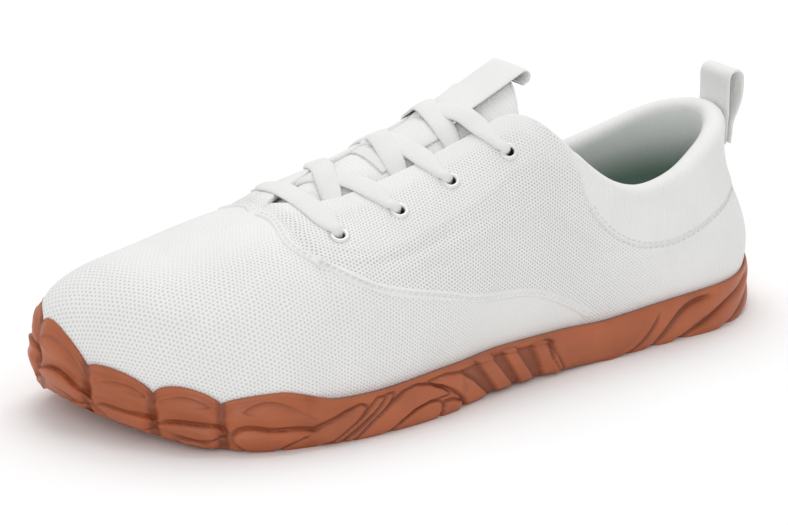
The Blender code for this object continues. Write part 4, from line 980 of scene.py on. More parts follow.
def inside_shape(s, t, corners, rounded, tall, mirrored):
    """Distance inside a closed shape drawn on the side, negative outside it."""
    at = np.array([corner[0] for corner in corners]) % 2
    level = np.array([corner[1] for corner in corners]) * np.interp(at, tall[0], tall[1])
    across = arc_of(at)
    across = np.where(across - across.min() > arc_of(2) / 2, across - arc_of(2), across)
    if mirrored:
        across = arc_of(2) - across
    shape = np.stack([across, level], 1)
    if rounded:
        arcs = run_of(np.vstack([shape, shape[:1]]))
        shape = spline(arcs[:-1], shape, np.linspace(0, arcs[-1], 48, endpoint=False), arcs[-1])
    away = np.full(s.shape, 9 * MM)
    within = np.zeros(s.shape, bool)
    for a, b in zip(shape, np.roll(shape, -1, 0)):
        way = b - a
        share = np.clip(((s - a[0]) * way[0] + (t - a[1]) * way[1]) / (way @ way + 1e-15), 0, 1)
        away = np.minimum(away, np.hypot(s - a[0] - way[0] * share, t - a[1] - way[1] * share))
        crosses = (a[1] > t) != (b[1] > t)
        rise = np.where(way[1] == 0, 1e-12, way[1])
        within ^= crosses & (s < a[0] + (t - a[1]) * way[0] / rise)
    return np.where(within, away, -away)


def beside_sweep(s, t, path, tall, mirrored):
    """Distance from a curved line drawn on the side, and the share of its length there."""
    at = np.array([node[0] for node in path])
    level = np.array([node[1] for node in path]) * np.interp(at % 2, tall[0], tall[1])
    across = np.where(at < 0, -arc_of(-at), arc_of(at % 2))
    if mirrored:
        across = arc_of(2) - across
    nodes = np.stack([across, level], 1)
    lengths = run_of(nodes)
    curve = spline(lengths, nodes, np.linspace(0, lengths[-1], 25))
    away = np.full(s.shape, 9 * MM)
    along = np.zeros(s.shape)
    for k in range(len(curve) - 1):
        a, way = curve[k], curve[k + 1] - curve[k]
        share = np.clip(((s - a[0]) * way[0] + (t - a[1]) * way[1]) / (way @ way), 0, 1)
        distance = np.hypot(s - a[0] - way[0] * share, t - a[1] - way[1] * share)
        nearer = distance < away
        away = np.where(nearer, distance, away)
        along = np.where(nearer, (k + share) / (len(curve) - 1), along)
    return away, along


def sole_relief(stations, share, height):
    """Inset from the outline over the side: rounding, lobes, pads, blades and grooves."""
    s = arc_of(stations)[None, :] + 0 * share[:, None]
    t = share[:, None] * height[None, :]
    h = share[:, None] + 0 * s
    w = stations[None, :] + 0 * h
    tall = (np.append(stations, 2.0), np.append(height, height[0]))
    lobes = smoothstep(0.680, 0.715, w) * (1 - smoothstep(1.18, 1.21, w))
    big = smoothstep(1.03, 1.09, w) * (1 - smoothstep(1.15, 1.20, w))
    along = np.abs(signed(w))
    foot_round = (1.2 + 1.3 * lobes) * MM * (1 - smoothstep(-0.02, 0.16 + 0.14 * lobes, h))
    rim_round = (1.1 + 2.3 * lobes + 1.4 * big) * MM * (h.clip(0.60) - 0.60) ** 2 / 0.40**2
    inset = 1.0 * MM + 0.5 * MM * lobes + foot_round + rim_round + big * 1.2 * MM
    for border in [lobe[0] for lobe in LOBES[1:]] + [LOBES[-1][1]]:
        aside = s - arc_of(border)
        valley = 1.8 * MM * np.exp(-((aside / (2.4 * MM)) ** 2))
        deep = 0.9 * MM * np.exp(-((aside / (1.7 * MM)) ** 2)) * (1 - smoothstep(0.25, 0.55, h))
        inset += (valley + deep) * (0.75 + 0.25 * (1 - h))
    waist = smoothstep(0.392, 0.400, along) * (1 - smoothstep(0.520, 0.535, along))
    inset += 1.6 * MM * waist * (1 - smoothstep(0.80, 0.94, h + 0.25 * (0.46 - along).clip(0)))
    inset += 0.7 * MM * lobes * smoothstep(0.66, 0.44, h) * smoothstep(0.30, 0.40, h)
    for corners in EYES:
        depth = inside_shape(s, t, corners, True, tall, False)
        low, high = min(c[1] for c in corners), max(c[1] for c in corners)
        upper_share = np.clip((h - low) / (high - low), 0, 1)
        inset += 0.85 * MM * smoothstep(0, 0.35 * MM, depth) * (0.15 + 0.85 * upper_share)
        inset -= 0.30 * MM * np.exp(-(((depth + 0.35 * MM) / (0.4 * MM)) ** 2)) * upper_share
    raised = np.zeros(s.shape)
    cut = np.zeros(s.shape)
    for proud, groove, rounded, corners in PADS:
        for mirrored in (False, True):
            if mirrored and corners[0][0] > 0.76:
                continue
            depth = inside_shape(s, t, corners, rounded, tall, mirrored)
            soft = (0.65 if rounded else 0.45) * MM
            raised = np.maximum(raised, proud * smoothstep(-0.05 * MM, soft, depth))
            above = smoothstep(0.15, 0.40, h) if rounded else 1.0
            edge = np.exp(-(((depth + 0.30 * MM) / (0.42 * MM)) ** 2))
            edge *= (groove + 0.5 * MM * rounded) * above
            cut = np.where(depth > 0.2 * MM, 0, np.maximum(cut, edge))
    for relief, half_width, path in SWEEPS:
        for mirrored in (False, True):
            away, run = beside_sweep(s, t, path, tall, mirrored)
            ends = smoothstep(0, 0.30, run)
            ridge_form = np.exp(-((away / half_width) ** 2)) * ends
            if relief < 0:
                ridge_form += 0.35 * np.exp(-((away / (3.2 * half_width)) ** 2)) * ends
            inset -= relief * ridge_form
    quiet = np.maximum(smoothstep(0.0, 0.05, h), 0.7) * (1 - smoothstep(0.93, 1.0, h))
    return inset + (cut - raised) * quiet


def first_hit(tree, point, way, start, reach):
    """Where a line that comes down on a point against its outward way meets a mesh, or None."""
    hit = tree.ray_cast(Vector(point + way * start), Vector(-way), reach)[0]
    return None if hit is None else np.array(hit)


def stand_off(tree, points, outward, distance):
    """Points moved along their outward directions until they stand off a mesh by a distance."""
    moved = []
    for point, way in zip(points, outward):
        hit = first_hit(tree, point, way, 10 * MM, 30 * MM)
        moved.append(point if hit is None else hit + way * distance)
    return np.array(moved)


def upper_at_height(stations, levels):
    """Outer face of the upper at each station's level, nudged clear of the mesh."""
    rises = np.linspace(0, 0.6, 61)
    heights = upper_point(stations[:, None], rises[None, :])[..., 2]
    rise = np.array([np.interp(z, column, rises) for z, column in zip(levels, heights)])
    wall = upper_point(stations, rise)
    wall[:, 2] = levels
    outward = np.column_stack([outline(stations)[1], np.zeros(len(stations))])
    return stand_off(upper_tree, wall, outward, 0.25 * MM)


lobe_bow = np.zeros(SOLE_COLUMNS)
for start, end, swelling in LOBES:
    inside = (sole_stations >= start) & (sole_stations < end)
    share = np.clip((sole_stations - start) / (end - start), 0, 1)
    bow = np.sin(math.pi * share) ** 0.6
    if start == LOBES[0][0]:
        bow = np.where(share < 0.5, smoothstep(0.0, 0.55, share), bow)
    lobe_bow = np.where(inside, bow * swelling, lobe_bow)
wall_height = side_height(sole_stations) + LOBE_RISE * lobe_bow
middle_shares = np.linspace(0.1, 0.92, SOLE_ROWS - 14)
shares = np.concatenate([np.linspace(0, 0.1, 7)[:-1], middle_shares, np.linspace(0.92, 1, 9)[1:]])
insets = sole_relief(sole_stations, shares, wall_height)
sole_out = outline(sole_stations)[1]
feather = outline(sole_stations, np.full(SOLE_COLUMNS, UPPER_INSET))[0]
footbed = floor_clearance(feather[:, 1]) + SOLE_THICKNESS
walls = []
for share in (0.4, 0.6, 0.8, 1.0):
    plan = outline(sole_stations, np.full(SOLE_COLUMNS, 2 * MM))[0]
    level = np.maximum(floor_clearance(plan[:, 1]) + share * wall_height, footbed + GAP)
    walls.append((upper_at_height(sole_stations, level)[:, :2] * sole_out).sum(1))
walls = np.array(walls)
rings = []
for row, share in enumerate(shares):
    plan, _ = outline(sole_stations, insets[row])
    level = floor_clearance(plan[:, 1]) + share * wall_height
    position = np.clip((share - 0.4) / 0.2, 0, 3)
    k = min(int(position), 2)
    wall = walls[k] + (walls[k + 1] - walls[k]) * (position - k)
    proud = (plan * sole_out).sum(1) - wall
    thin = RIM_THICKNESS * (1 - 0.4 * smoothstep(0.93, 1.0, share))
    plan = plan + sole_out * np.maximum(0, thin - proud)[:, None]
    rings.append(np.column_stack([plan, level]))
rim_level = rings[-1][:, 2]
for share in (0.0, 0.3, 0.7, 1.0):
    rings.append(upper_at_height(sole_stations, rim_level + (footbed + GAP - rim_level) * share))
rings[-1][:, 2] = footbed
sole_points = np.concatenate(rings)
sole_faces = face_grid(len(rings), SOLE_COLUMNS, 0, True)


def across_index(i, k, ring, columns, grid, rows):
    """Point k of the row that runs from column i of a closed ring over to its mirror column."""
    if k == 0 or i in (0, columns // 2):
        return ring + i
    if k == rows + 1:
        return ring + (columns - i) % columns
    return grid + (i - 1) * rows + k - 1


def across_faces(ring, columns, grid, rows, flip):
    """Faces that close a ring, over a grid of rows from each column to its mirror column."""
    faces = []
    for i in range(columns // 2):
        for k in range(rows + 1):
            corners = [(i, k), (i, k + 1), (i + 1, k + 1), (i + 1, k)]
            quad = [across_index(a, b, ring, columns, grid, rows) for a, b in corners]
            quad = [c for n, c in enumerate(quad) if c != quad[n - 1]]
            if len(quad) > 2:
                faces.append(quad[::-1] if flip else quad)
    return faces


# Tread underneath: low bars across the foot, crossed by two flex channels
TREAD_ROWS = 44
TREAD_PITCH = 7.5 * MM
TREAD_DEPTH = 1.3 * MM
CHANNEL_OUT = 17 * MM
tread_shares = np.linspace(0, 1, TREAD_ROWS + 2)[1:-1]
outer_edge = rings[0][1:half_sole]
inner_edge = rings[0][:half_sole:-1]
tread = outer_edge[:, None] + (inner_edge - outer_edge)[:, None] * tread_shares[None, :, None]
clear = floor_clearance(tread[..., 1])
tread_width = np.linalg.norm(inner_edge - outer_edge, axis=1)
edge_away = np.minimum(tread_shares, 1 - tread_shares)[None, :] * tread_width[:, None]
curved = tread[..., 1] + 6 * MM * np.cos(tread[..., 0] / (14 * MM))
bars = np.abs(np.mod(curved / TREAD_PITCH, 1) - 0.5)
channel = np.exp(-((np.abs(np.abs(tread[..., 0] + 4 * MM) - CHANNEL_OUT) / (1.2 * MM)) ** 2))
groove = np.maximum(1 - smoothstep(0.06, 0.16, bars), channel)
tread[..., 2] = clear + TREAD_DEPTH * groove * smoothstep(2.0 * MM, 3.6 * MM, edge_away)
sole_faces += across_faces(0, SOLE_COLUMNS, len(sole_points), TREAD_ROWS, False)
sole_points = np.concatenate([sole_points, tread.reshape(-1, 3)])
sole_faces += across_faces((len(rings) - 1) * SOLE_COLUMNS, SOLE_COLUMNS, 0, 0, True)

GUM, GUM_LOW, GUM_HIGH = (0.40, 0.105, 0.036), (0.34, 0.084, 0.028), (0.44, 0.114, 0.038)
# Colour of the painted shade in the hollows of the relief
GUM_PAINTED_SHADE = (0.13, 0.026, 0.009)
gum, gum_shader = new_material("gum_rubber", GUM, 0.42)
tint = gum.node_tree.nodes.new("ShaderNodeValToRGB")
for stop, position, colour in zip(tint.color_ramp.elements, (0.3, 0.7), (GUM_LOW, GUM_HIGH)):
    stop.position = position
    stop.color = (*colour, 1)
gum.node_tree.links.new(noise(gum, 60, 5), tint.inputs["Fac"])
# Painted shade: the gum turns towards the shade colour in the hollows of the relief
shaded_gum = mix_colours(gum, GUM, GUM_PAINTED_SHADE, attribute_socket(gum, "cavity_shade"))
gum.node_tree.links.new(tint.outputs["Color"], shaded_gum.node.inputs["A"])
gum.node_tree.links.new(shaded_gum, gum_shader.inputs["Base Color"])
bump(gum, gum_shader, noise(gum, 2200, 2), 0.12, 0.2 * MM)

outsole = mesh_object("gum_outsole", sole_points, sole_faces, [gum])

# Painted shade: hollows of the relief are painted darker, by how far each place lies in from its blurred
# surroundings
cavity_shade_share = np.zeros(len(sole_points))
blurred = insets.copy()
for _ in range(10):
    blurred = (np.roll(blurred, 2, 1) + np.roll(blurred, -2, 1) + 2 * blurred) / 4
    blurred[1:-1] = (blurred[:-2] + blurred[2:] + 2 * blurred[1:-1]) / 4
cavity_shade_share[: insets.size] = np.clip((insets - blurred) / (0.8 * MM), 0, 0.60).ravel()
store(outsole, "cavity_shade", cavity_shade_share)
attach(outsole, "root")
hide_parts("outsole")


# Insole
#
# Loose footbed of grey-green textile over thin foam, cut to the last and laid on the sole.
# Its edge is rounded and its middle dips slightly.

INSOLE_THICKNESS = 3.2 * MM
INSOLE_COLUMNS = 180
INSOLE_ROWS = 14

insole_stations = 2 * np.arange(INSOLE_COLUMNS) / INSOLE_COLUMNS
insole_rings = []
for inset, height in ((0.7, 0.0), (0.1, 0.5), (0.0, 1.4), (0.2, 2.5), (0.8, 3.1), (1.6, 3.2)):
    inset = np.full(INSOLE_COLUMNS, UPPER_INSET + WALL + GAP + (0.4 + inset) * MM)
    plan = outline(insole_stations, inset)[0]
    level = floor_clearance(plan[:, 1]) + SOLE_THICKNESS + GAP + height * MM
    insole_rings.append(np.column_stack([plan, level]))
half_insole = INSOLE_COLUMNS // 2
top_ring = insole_rings[-1]
shares = np.linspace(0, 1, INSOLE_ROWS + 2)[1:-1]
outer_edge, inner_edge = top_ring[1:half_insole], top_ring[:half_insole:-1]
bed = outer_edge[:, None] + (inner_edge - outer_edge)[:, None] * shares[None, :, None]
bed[..., 2] = floor_clearance(bed[..., 1]) + SOLE_THICKNESS + GAP + INSOLE_THICKNESS
bed[..., 2] -= 0.5 * MM * np.sin(math.pi * shares)
insole_faces = face_grid(len(insole_rings), INSOLE_COLUMNS, 0, True)
insole_faces += across_faces(0, INSOLE_COLUMNS, 0, 0, False)
bed_start = len(insole_rings) * INSOLE_COLUMNS
insole_faces += across_faces(bed_start - INSOLE_COLUMNS, INSOLE_COLUMNS, bed_start, INSOLE_ROWS, True)
insole_points = np.concatenate(insole_rings + [bed.reshape(-1, 3)])
insole = mesh_object("footbed", insole_points, insole_faces, [lining_grey])
lay_cloth(insole, insole_points[corner_points(insole), :2])
store(insole, "openness", np.full(len(insole_points), 0.6))
store(insole, "wale", insole_points[:, 0])
# The footbed takes most of the deep colour: partly its grey-green, partly painted shade
store(insole, "depth", np.full(len(insole_points), 0.8))
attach(insole, "root")
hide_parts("insole")


# Tongue
#
# Thin padded strip under the lace, rib-knitted on the outside and lined on the inside.
# It is sewn in under the end of the throat and stands a little above its top corner.

TONGUE_THICKNESS = 4.5 * MM
TONGUE_RISE = 7 * MM
TONGUE_CROWN = 4.5 * MM
TONGUE_STATIONS = [0.700, 0.675, 0.650, 0.620, 0.585, 0.550, 0.515, 0.480, 0.450]
TONGUE_SIDE_RISE = 0.80
TONGUE_STEPS = 5
TONGUE_FLARE = 7.5 * MM
TONGUE_DROP = 4.0 * MM
TONGUE_ROWS, TONGUE_COLUMNS = 110, 96


def tongue_sections():
    """Upper face of the tongue: rows of points from its outer to its inner side."""
    sections = []
    rises = np.linspace(TONGUE_SIDE_RISE, 1.0, TONGUE_STEPS)
    for station in TONGUE_STATIONS:
        sides = []
        for side in (1, -1):
            at = np.full(TONGUE_STEPS, station * side)
            depth = wall_thickness(at, rises) + 2 * GAP + 0.8 * MM * smoothstep(0.62, 0.66, station)
            sides.append(upper_point(at, rises) - upper_normal(at, rises) * depth[:, None])
        outer, inner = sides
        width = np.linalg.norm(outer[-1] - inner[-1])
        leave = unit(outer[-1] - outer[-2]) * width
        arrive = -unit(inner[-1] - inner[-2]) * width
        crown = TONGUE_CROWN * smoothstep(0.700, 0.600, station)
        bridge = []
        for t in np.linspace(0, 1, TONGUE_STEPS + 2)[1:-1]:
            spot = (2 * t**3 - 3 * t * t + 1) * outer[-1] + (t**3 - 2 * t * t + t) * leave
            spot = spot + (3 * t * t - 2 * t**3) * inner[-1] + (t**3 - t * t) * arrive
            bridge.append(spot + np.array([0, 0, crown * 4 * t * (1 - t)]))
        if station >= THROAT_END:
            bridge = []
            inner = inner[:-1]
        row = np.array(list(outer) + bridge + list(inner[::-1]))
        lengths = run_of(row)
        even = np.linspace(0, 1, 3 * TONGUE_STEPS) * lengths[-1]
        sections.append(points_along(even, lengths, row))
    last, before = sections[-1], sections[-2]
    travel = unit((last - before)[len(last) // 2])
    middle = last.mean(0)
    for reach, narrow in ((0.55, 0.98), (1.0, 0.96)):
        edge = middle + (last - middle) * np.array([narrow, 1, 1]) + travel * TONGUE_RISE * reach
        edge[:, 2] -= TONGUE_RISE * 0.5 * (reach * (np.linspace(-1, 1, len(last)) ** 2))
        sections.append(edge)
    return np.array(sections)


def finer(rows, count):
    """More rows of points between the given ones, on a smooth curve; rows and columns change places."""
    at = np.linspace(0, len(rows) - 1, count)
    smooth = spline(np.arange(len(rows)), rows.reshape(len(rows), -1), at)
    return smooth.reshape(count, -1, 3).transpose(1, 0, 2)


coarse = tongue_sections()
tongue_top = finer(finer(coarse, TONGUE_ROWS), TONGUE_COLUMNS)
row_share = np.linspace(0, 1, TONGUE_ROWS)[:, None]
column_share = np.linspace(0, 1, TONGUE_COLUMNS)[None, :]

# Its near corner flares out and drops a little beside the ankle
flare = TONGUE_FLARE * smoothstep(0.74, 1.0, row_share)
tongue_top[..., 0] += flare * ((1 - column_share) ** 3 - 0.5 * column_share**3)
lean = unit(tongue_top[-1, TONGUE_COLUMNS // 2] - tongue_top[-12, TONGUE_COLUMNS // 2])
drop = TONGUE_DROP * smoothstep(0.82, 1.0, row_share) * (1 - column_share) ** 2
tongue_top -= lean * drop[..., None]
tongue_normal = unit(np.cross(np.gradient(tongue_top, axis=1), np.gradient(tongue_top, axis=0)))
tongue_normal *= np.sign(tongue_normal[..., 2:].mean())
tongue_u = np.cumsum(np.linalg.norm(np.diff(tongue_top, axis=1, prepend=tongue_top[:, :1]), axis=2), axis=1)
tongue_u -= tongue_u[:, TONGUE_COLUMNS // 2][:, None]
tongue_v = np.cumsum(np.linalg.norm(np.diff(tongue_top, axis=0, prepend=tongue_top[:1]), axis=2), axis=0)

# Rounded edge, and a stitched line beside it
border_across = np.minimum(column_share, 1 - column_share) * 85 * MM
border = np.minimum(border_across, np.minimum(row_share, 1 - row_share) * 110 * MM)
fullness = np.sqrt(np.clip(1 - (1 - np.clip(border / (2.6 * MM), 0, 1)) ** 2, 0, 1))
piped = 0.35 * MM * np.exp(-(((border - 5.0 * MM) / (0.8 * MM)) ** 2))
half_thick = tongue_normal * (TONGUE_THICKNESS / 2)
face_top = tongue_top - half_thick * (1 - fullness)[..., None] - tongue_normal * piped[..., None]
face_under = tongue_top - half_thick * (1 + fullness)[..., None]
tongue_points = np.concatenate([face_top.reshape(-1, 3), face_under.reshape(-1, 3)])
tongue_faces = face_grid(TONGUE_ROWS, TONGUE_COLUMNS)
under = face_grid(TONGUE_ROWS, TONGUE_COLUMNS, TONGUE_ROWS * TONGUE_COLUMNS, flip=True)
kinds = [0] * len(tongue_faces) + [1] * len(under)
tongue = mesh_object("knit_tongue", tongue_points, tongue_faces + under, [knit_white, lining_grey], kinds)
tongue_cloth = np.tile(np.stack([tongue_u, tongue_v], -1).reshape(-1, 2), (2, 1))
lay_cloth(tongue, tongue_cloth[corner_points(tongue)])
store(tongue, "openness", np.zeros(len(tongue_points)))
store(tongue, "wale", np.tile(tongue_v.ravel() * 0.72, 2))
# The tongue's underside takes part of the deep colour: partly its grey-green, partly painted shade
store(tongue, "depth", np.repeat((0.0, 0.6), TONGUE_ROWS * TONGUE_COLUMNS))
merge_points(tongue)
face_outward(tongue)
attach(tongue, "root")
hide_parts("tongue")
tongue_tree = tree_of(tongue)


# Vamp seams
#
# Raised welt where the vamp meets the quarter: a folded strip of knit stitched down twice.
# It runs from the end of the throat down each side into the sole.

SEAM_WIDTH = 3.0 * MM
SEAM_ROWS = 190
# Section of the welt: share of its width from the middle, height above the knit in millimetres
WELT = [
    (-0.62, -0.5), (-0.56, 0.0), (-0.42, 0.55), (-0.28, 0.70), (-0.12, 0.62), (0.0, 0.54),
    (0.12, 0.62), (0.28, 0.70), (0.42, 0.55), (0.56, 0.0), (0.62, -0.5),
]


def beside(station, rise, across, distance):
    """Station and rise of places a short way to the side of places on the upper."""
    step = 0.002
    round_shoe = (upper_point(station + step, rise) - upper_point(station - step, rise)) / (2 * step)
    up = (upper_point(station, rise + step) - upper_point(station, rise - step)) / (2 * step)
    way = across * distance
    aa, ab, bb = (round_shoe**2).sum(-1), (round_shoe * up).sum(-1), (up**2).sum(-1)
    ra, rb = (round_shoe * way).sum(-1), (up * way).sum(-1)
    whole = aa * bb - ab * ab
    return station + (ra * bb - rb * ab) / whole, rise + (rb * aa - ra * ab) / whole


def on_upper(station, rise, across, distance, height):
    """Places beside a path on the upper, at a height above its skin."""
    at, level = beside(station, rise, across, distance)
    level = np.clip(level, 0.0, 0.995)
    return upper_skin(at, level) + upper_normal(at, level) * height


stitch_places, stitch_runs, stitch_faces = [], [], []


def stitch_line(station, rise, across, distance, height, pitch=2.4 * MM):
    """Notes where the stitches of a row go along a path on the upper."""
    line = on_upper(station, rise, across, distance, height)
    lengths = run_of(line)
    at = np.arange(pitch, lengths[-1] - pitch, pitch)
    spots = points_along(at, lengths, line)
    faces = unit(points_along(at, lengths, upper_normal(station, np.clip(rise, 0, 0.98))))
    stitch_places.extend(spots)
    stitch_runs.extend(unit(np.gradient(spots, axis=0)))
    stitch_faces.extend(faces)


def across_of(station, rise, side):
    """Steps along a path on the upper, and the sideways direction at each of its points."""
    travel = np.gradient(upper_point(station, rise), axis=0)
    return travel, unit(np.cross(travel, upper_normal(station, rise))) * side


welt_points, welt_faces, welt_cloth = [], [], []
for side in (1, -1):
    path = np.array(SEAM_PATH)
    share = np.linspace(0, 1, len(path))
    steps = np.linspace(0, 1, SEAM_ROWS)
    station = side * spline(share, path[:, 0], steps)
    rise = spline(share, path[:, 1], steps)
    travel, across = across_of(station, rise, side)
    run = np.cumsum(np.linalg.norm(travel, axis=1))
    taper = np.clip(np.minimum(steps, 1 - steps) / 0.02, 0, 1) ** 0.5
    ladder = []
    for place, height in WELT:
        height = (height * taper - 0.6 * (1 - taper)) * MM
        ladder.append(on_upper(station, rise, across, place * SEAM_WIDTH, height[:, None]))
    ladder = eased(np.array(ladder).transpose(1, 0, 2), 24)
    start = len(welt_points)
    welt_points.extend(ladder.reshape(-1, 3))
    faces = face_grid(SEAM_ROWS, len(WELT), start, True, side < 0)
    faces.append([start + k for k in range(len(WELT))][:: 1 if side > 0 else -1])
    last = start + (SEAM_ROWS - 1) * len(WELT)
    faces.append([last + k for k in range(len(WELT))][:: -1 if side > 0 else 1])
    welt_faces += faces
    for row in range(SEAM_ROWS):
        welt_cloth += [(place * SEAM_WIDTH, run[row]) for place, height in WELT]
    for place in (-0.12, 0.12):
        stitch_line(station[3:-3], rise[3:-3], across[3:-3], place * SEAM_WIDTH, 0.55 * MM)
welt = mesh_object("vamp_welts", welt_points, welt_faces, [knit_white])
lay_cloth(welt, np.array(welt_cloth)[corner_points(welt)])
store(welt, "openness", np.zeros(len(welt_points)))
store(welt, "wale", np.array(welt_cloth)[:, 1])
face_outward(welt)
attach(welt, "root")
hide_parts("vamp_seam_lateral", "vamp_seam_medial")


# Eyelets
#
# Four pairs of turned rings, enamelled white, pressed through the doubled edge of the throat.
# Each has a rolled flange outside and a barrel that the lace passes through, painted near-black inside and
# closed by a dark disc, as painted shade of the hole.

EYELET_SEGMENTS = 36
EYELET_BORE = 2.3 * MM
# Each pair of eyelets: station, distance across from the ridge outside and inside
EYELETS = [(0.642, 0.290, 0.225), (0.576, 0.280, 0.255), (0.519, 0.272, 0.265), (0.449, 0.272, 0.265)]
# Section of the ring: radius and height in millimetres, and how much painted shade darkens it inside
EYELET_PROFILE = [
    (3.30, 0.30, 0.0), (3.25, 0.62, 0.0), (3.00, 0.90, 0.0), (2.60, 1.02, 0.0), (2.20, 0.96, 0.0),
    (1.90, 0.78, 0.0), (1.76, 0.45, 0.35), (1.75, 0.00, 0.9), (1.75, -1.60, 1.0), (0.02, -1.70, 1.0),
]


def eyelet_seat(side, row):
    """Centre of an eyelet on the upper's outer face, and the outward normal there."""
    station, outer, inner = EYELETS[row]
    across = outer if side > 0 else inner
    rises = np.linspace(0.4, 1, 121)
    points = upper_point(np.full(121, side * station), rises)
    away = np.abs(points[:, 0] - ridge(throat_end_y)[0])
    rise = float(np.interp(-across * BALL_WIDTH, -away, rises))
    return upper_point(side * station, rise), upper_normal(np.array(side * station), np.array(rise))


def repeat_tree():
    """Geometry Nodes: one shape on every point, turned by the point's run and face directions."""
    tree = bpy.data.node_groups.new("repeat_on_points", "GeometryNodeTree")
    kinds = {"Geometry": "Geometry", "Shape": "Object", "Scale": "Vector", "Finish": "Material"}
    for name, kind in kinds.items():
        tree.interface.new_socket(name, in_out="INPUT", socket_type="NodeSocket" + kind)
    tree.interface.new_socket("Geometry", in_out="OUTPUT", socket_type="NodeSocketGeometry")
    nodes, links = tree.nodes, tree.links
    inside, out = nodes.new("NodeGroupInput"), nodes.new("NodeGroupOutput")
    shape = nodes.new("GeometryNodeObjectInfo")
    links.new(inside.outputs["Shape"], shape.inputs["Object"])
    turned = None
    for axis, name in (("Z", "face"), ("X", "run")):
        read = nodes.new("GeometryNodeInputNamedAttribute")
        read.data_type = "FLOAT_VECTOR"
        read.inputs["Name"].default_value = name
        align = nodes.new("FunctionNodeAlignRotationToVector")
        align.axis = axis
        align.pivot_axis = "AUTO" if turned is None else "Z"
        links.new(read.outputs["Attribute"], align.inputs["Vector"])
        if turned is not None:
            links.new(turned, align.inputs["Rotation"])
        turned = align.outputs["Rotation"]
    place = nodes.new("GeometryNodeInstanceOnPoints")
    links.new(inside.outputs["Geometry"], place.inputs["Points"])
    links.new(shape.outputs["Geometry"], place.inputs["Instance"])
    links.new(turned, place.inputs["Rotation"])
    links.new(inside.outputs["Scale"], place.inputs["Scale"])
    real = nodes.new("GeometryNodeRealizeInstances")
    links.new(place.outputs["Instances"], real.inputs["Geometry"])
    paint = nodes.new("GeometryNodeSetMaterial")
    links.new(real.outputs["Geometry"], paint.inputs["Geometry"])
    links.new(inside.outputs["Finish"], paint.inputs["Material"])
    links.new(paint.outputs["Geometry"], out.inputs["Geometry"])
    return tree


repeat_on_points = repeat_tree()


def apply_modifiers(thing):
    """Gives a piece the mesh that its modifiers make, and removes them."""
    graph = bpy.context.evaluated_depsgraph_get()
    plain = bpy.data.meshes.new_from_object(thing.evaluated_get(graph))
    thing.modifiers.clear()
    thing.data = plain


def repeated(name, places, runs, normals, shape, scale, finish):
    """A plain mesh of copies of a shape, one on each place; the shape itself is used up."""
    mesh = bpy.data.meshes.new(name)
    mesh.from_pydata(np.asarray(places, float).tolist(), [], [])
    for attribute, values in (("run", runs), ("face", normals)):
        layer = mesh.attributes.new(attribute, "FLOAT_VECTOR", "POINT")
        layer.data.foreach_set("vector", np.asarray(values, np.float32).ravel())
    thing = new_object(name, mesh)
    copies = thing.modifiers.new("copies", "NODES")
    copies.node_group = repeat_on_points
    values = {"Shape": shape, "Scale": scale, "Finish": finish}
    for socket in repeat_on_points.interface.items_tree:
        if socket.in_out == "INPUT" and socket.name in values:
            copies[socket.identifier] = values[socket.name]
    apply_modifiers(thing)
    thing.data.shade_smooth()
    bpy.data.objects.remove(shape)
    return thing


ENAMEL, BARREL_SHADE = (0.80, 0.80, 0.79), (0.02, 0.02, 0.02)
enamel, enamel_shader = new_material("eyelet_enamel", ENAMEL, 0.35, 0.2)
# Painted shade: the barrel's inside and its closing disc turn near-black
enamel_colour = mix_colours(enamel, ENAMEL, BARREL_SHADE, attribute_socket(enamel, "dark"))
tone(enamel, enamel_shader, enamel_colour, 300, 0.95)
ring_points, ring_shade = [], []
for k in range(EYELET_SEGMENTS):
    angle = 2 * math.pi * k / EYELET_SEGMENTS
    for radius, height, dark in EYELET_PROFILE:
        ring_points.append((radius * MM * math.cos(angle), radius * MM * math.sin(angle), height * MM))
        ring_shade.append(dark)
profile_size = len(EYELET_PROFILE)
ring_faces = []
for k in range(EYELET_SEGMENTS):
    for p in range(profile_size - 1):
        a, b = k * profile_size + p, (k + 1) % EYELET_SEGMENTS * profile_size + p
        ring_faces.append([a, b, b + 1, a + 1])
ring_faces.append([k * profile_size + profile_size - 1 for k in range(EYELET_SEGMENTS)])
ring = mesh_object("eyelet_ring", ring_points, ring_faces, [enamel])
store(ring, "dark", ring_shade)
seats = {(side, row): eyelet_seat(side, row) for side in (1, -1) for row in range(len(EYELETS))}
seat_centres = [centre for centre, normal in seats.values()]
seat_normals = [normal for centre, normal in seats.values()]
eyelets = repeated("eyelet_rings", seat_centres, [(0, 1, 0)] * 8, seat_normals, ring, (1, 1, 1), enamel)
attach(eyelets, "root")
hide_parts(*[f"eyelet_{word}_{row + 1}" for word in ("lateral", "medial") for row in range(4)])

# Round holes in the doubled knit behind the rings
work = bmesh.new()
turn = np.linspace(0, 2 * math.pi, 24, endpoint=False)
for centre, normal in seats.values():
    u = unit(np.cross([0.0, 1.0, 0.0], normal))
    v = np.cross(normal, u)
    ends = []
    for out in (4 * MM, -5 * MM):
        circle = [centre + (u * math.cos(a) + v * math.sin(a)) * EYELET_BORE + normal * out for a in turn]
        ends.append([work.verts.new(point) for point in circle])
    work.faces.new(ends[0])
    work.faces.new(ends[1][::-1])
    for k in range(24):
        m = (k + 1) % 24
        work.faces.new([ends[0][m], ends[0][k], ends[1][k], ends[1][m]])
bmesh.ops.recalc_face_normals(work, faces=work.faces[:])
cutter_mesh = bpy.data.meshes.new("hole_cutter")
work.to_mesh(cutter_mesh)
work.free()
cutter = new_object("hole_cutter", cutter_mesh)
holes = upper.modifiers.new("holes", "BOOLEAN")
holes.operation = "DIFFERENCE"
holes.object = cutter
apply_modifiers(upper)
bpy.data.objects.remove(cutter)


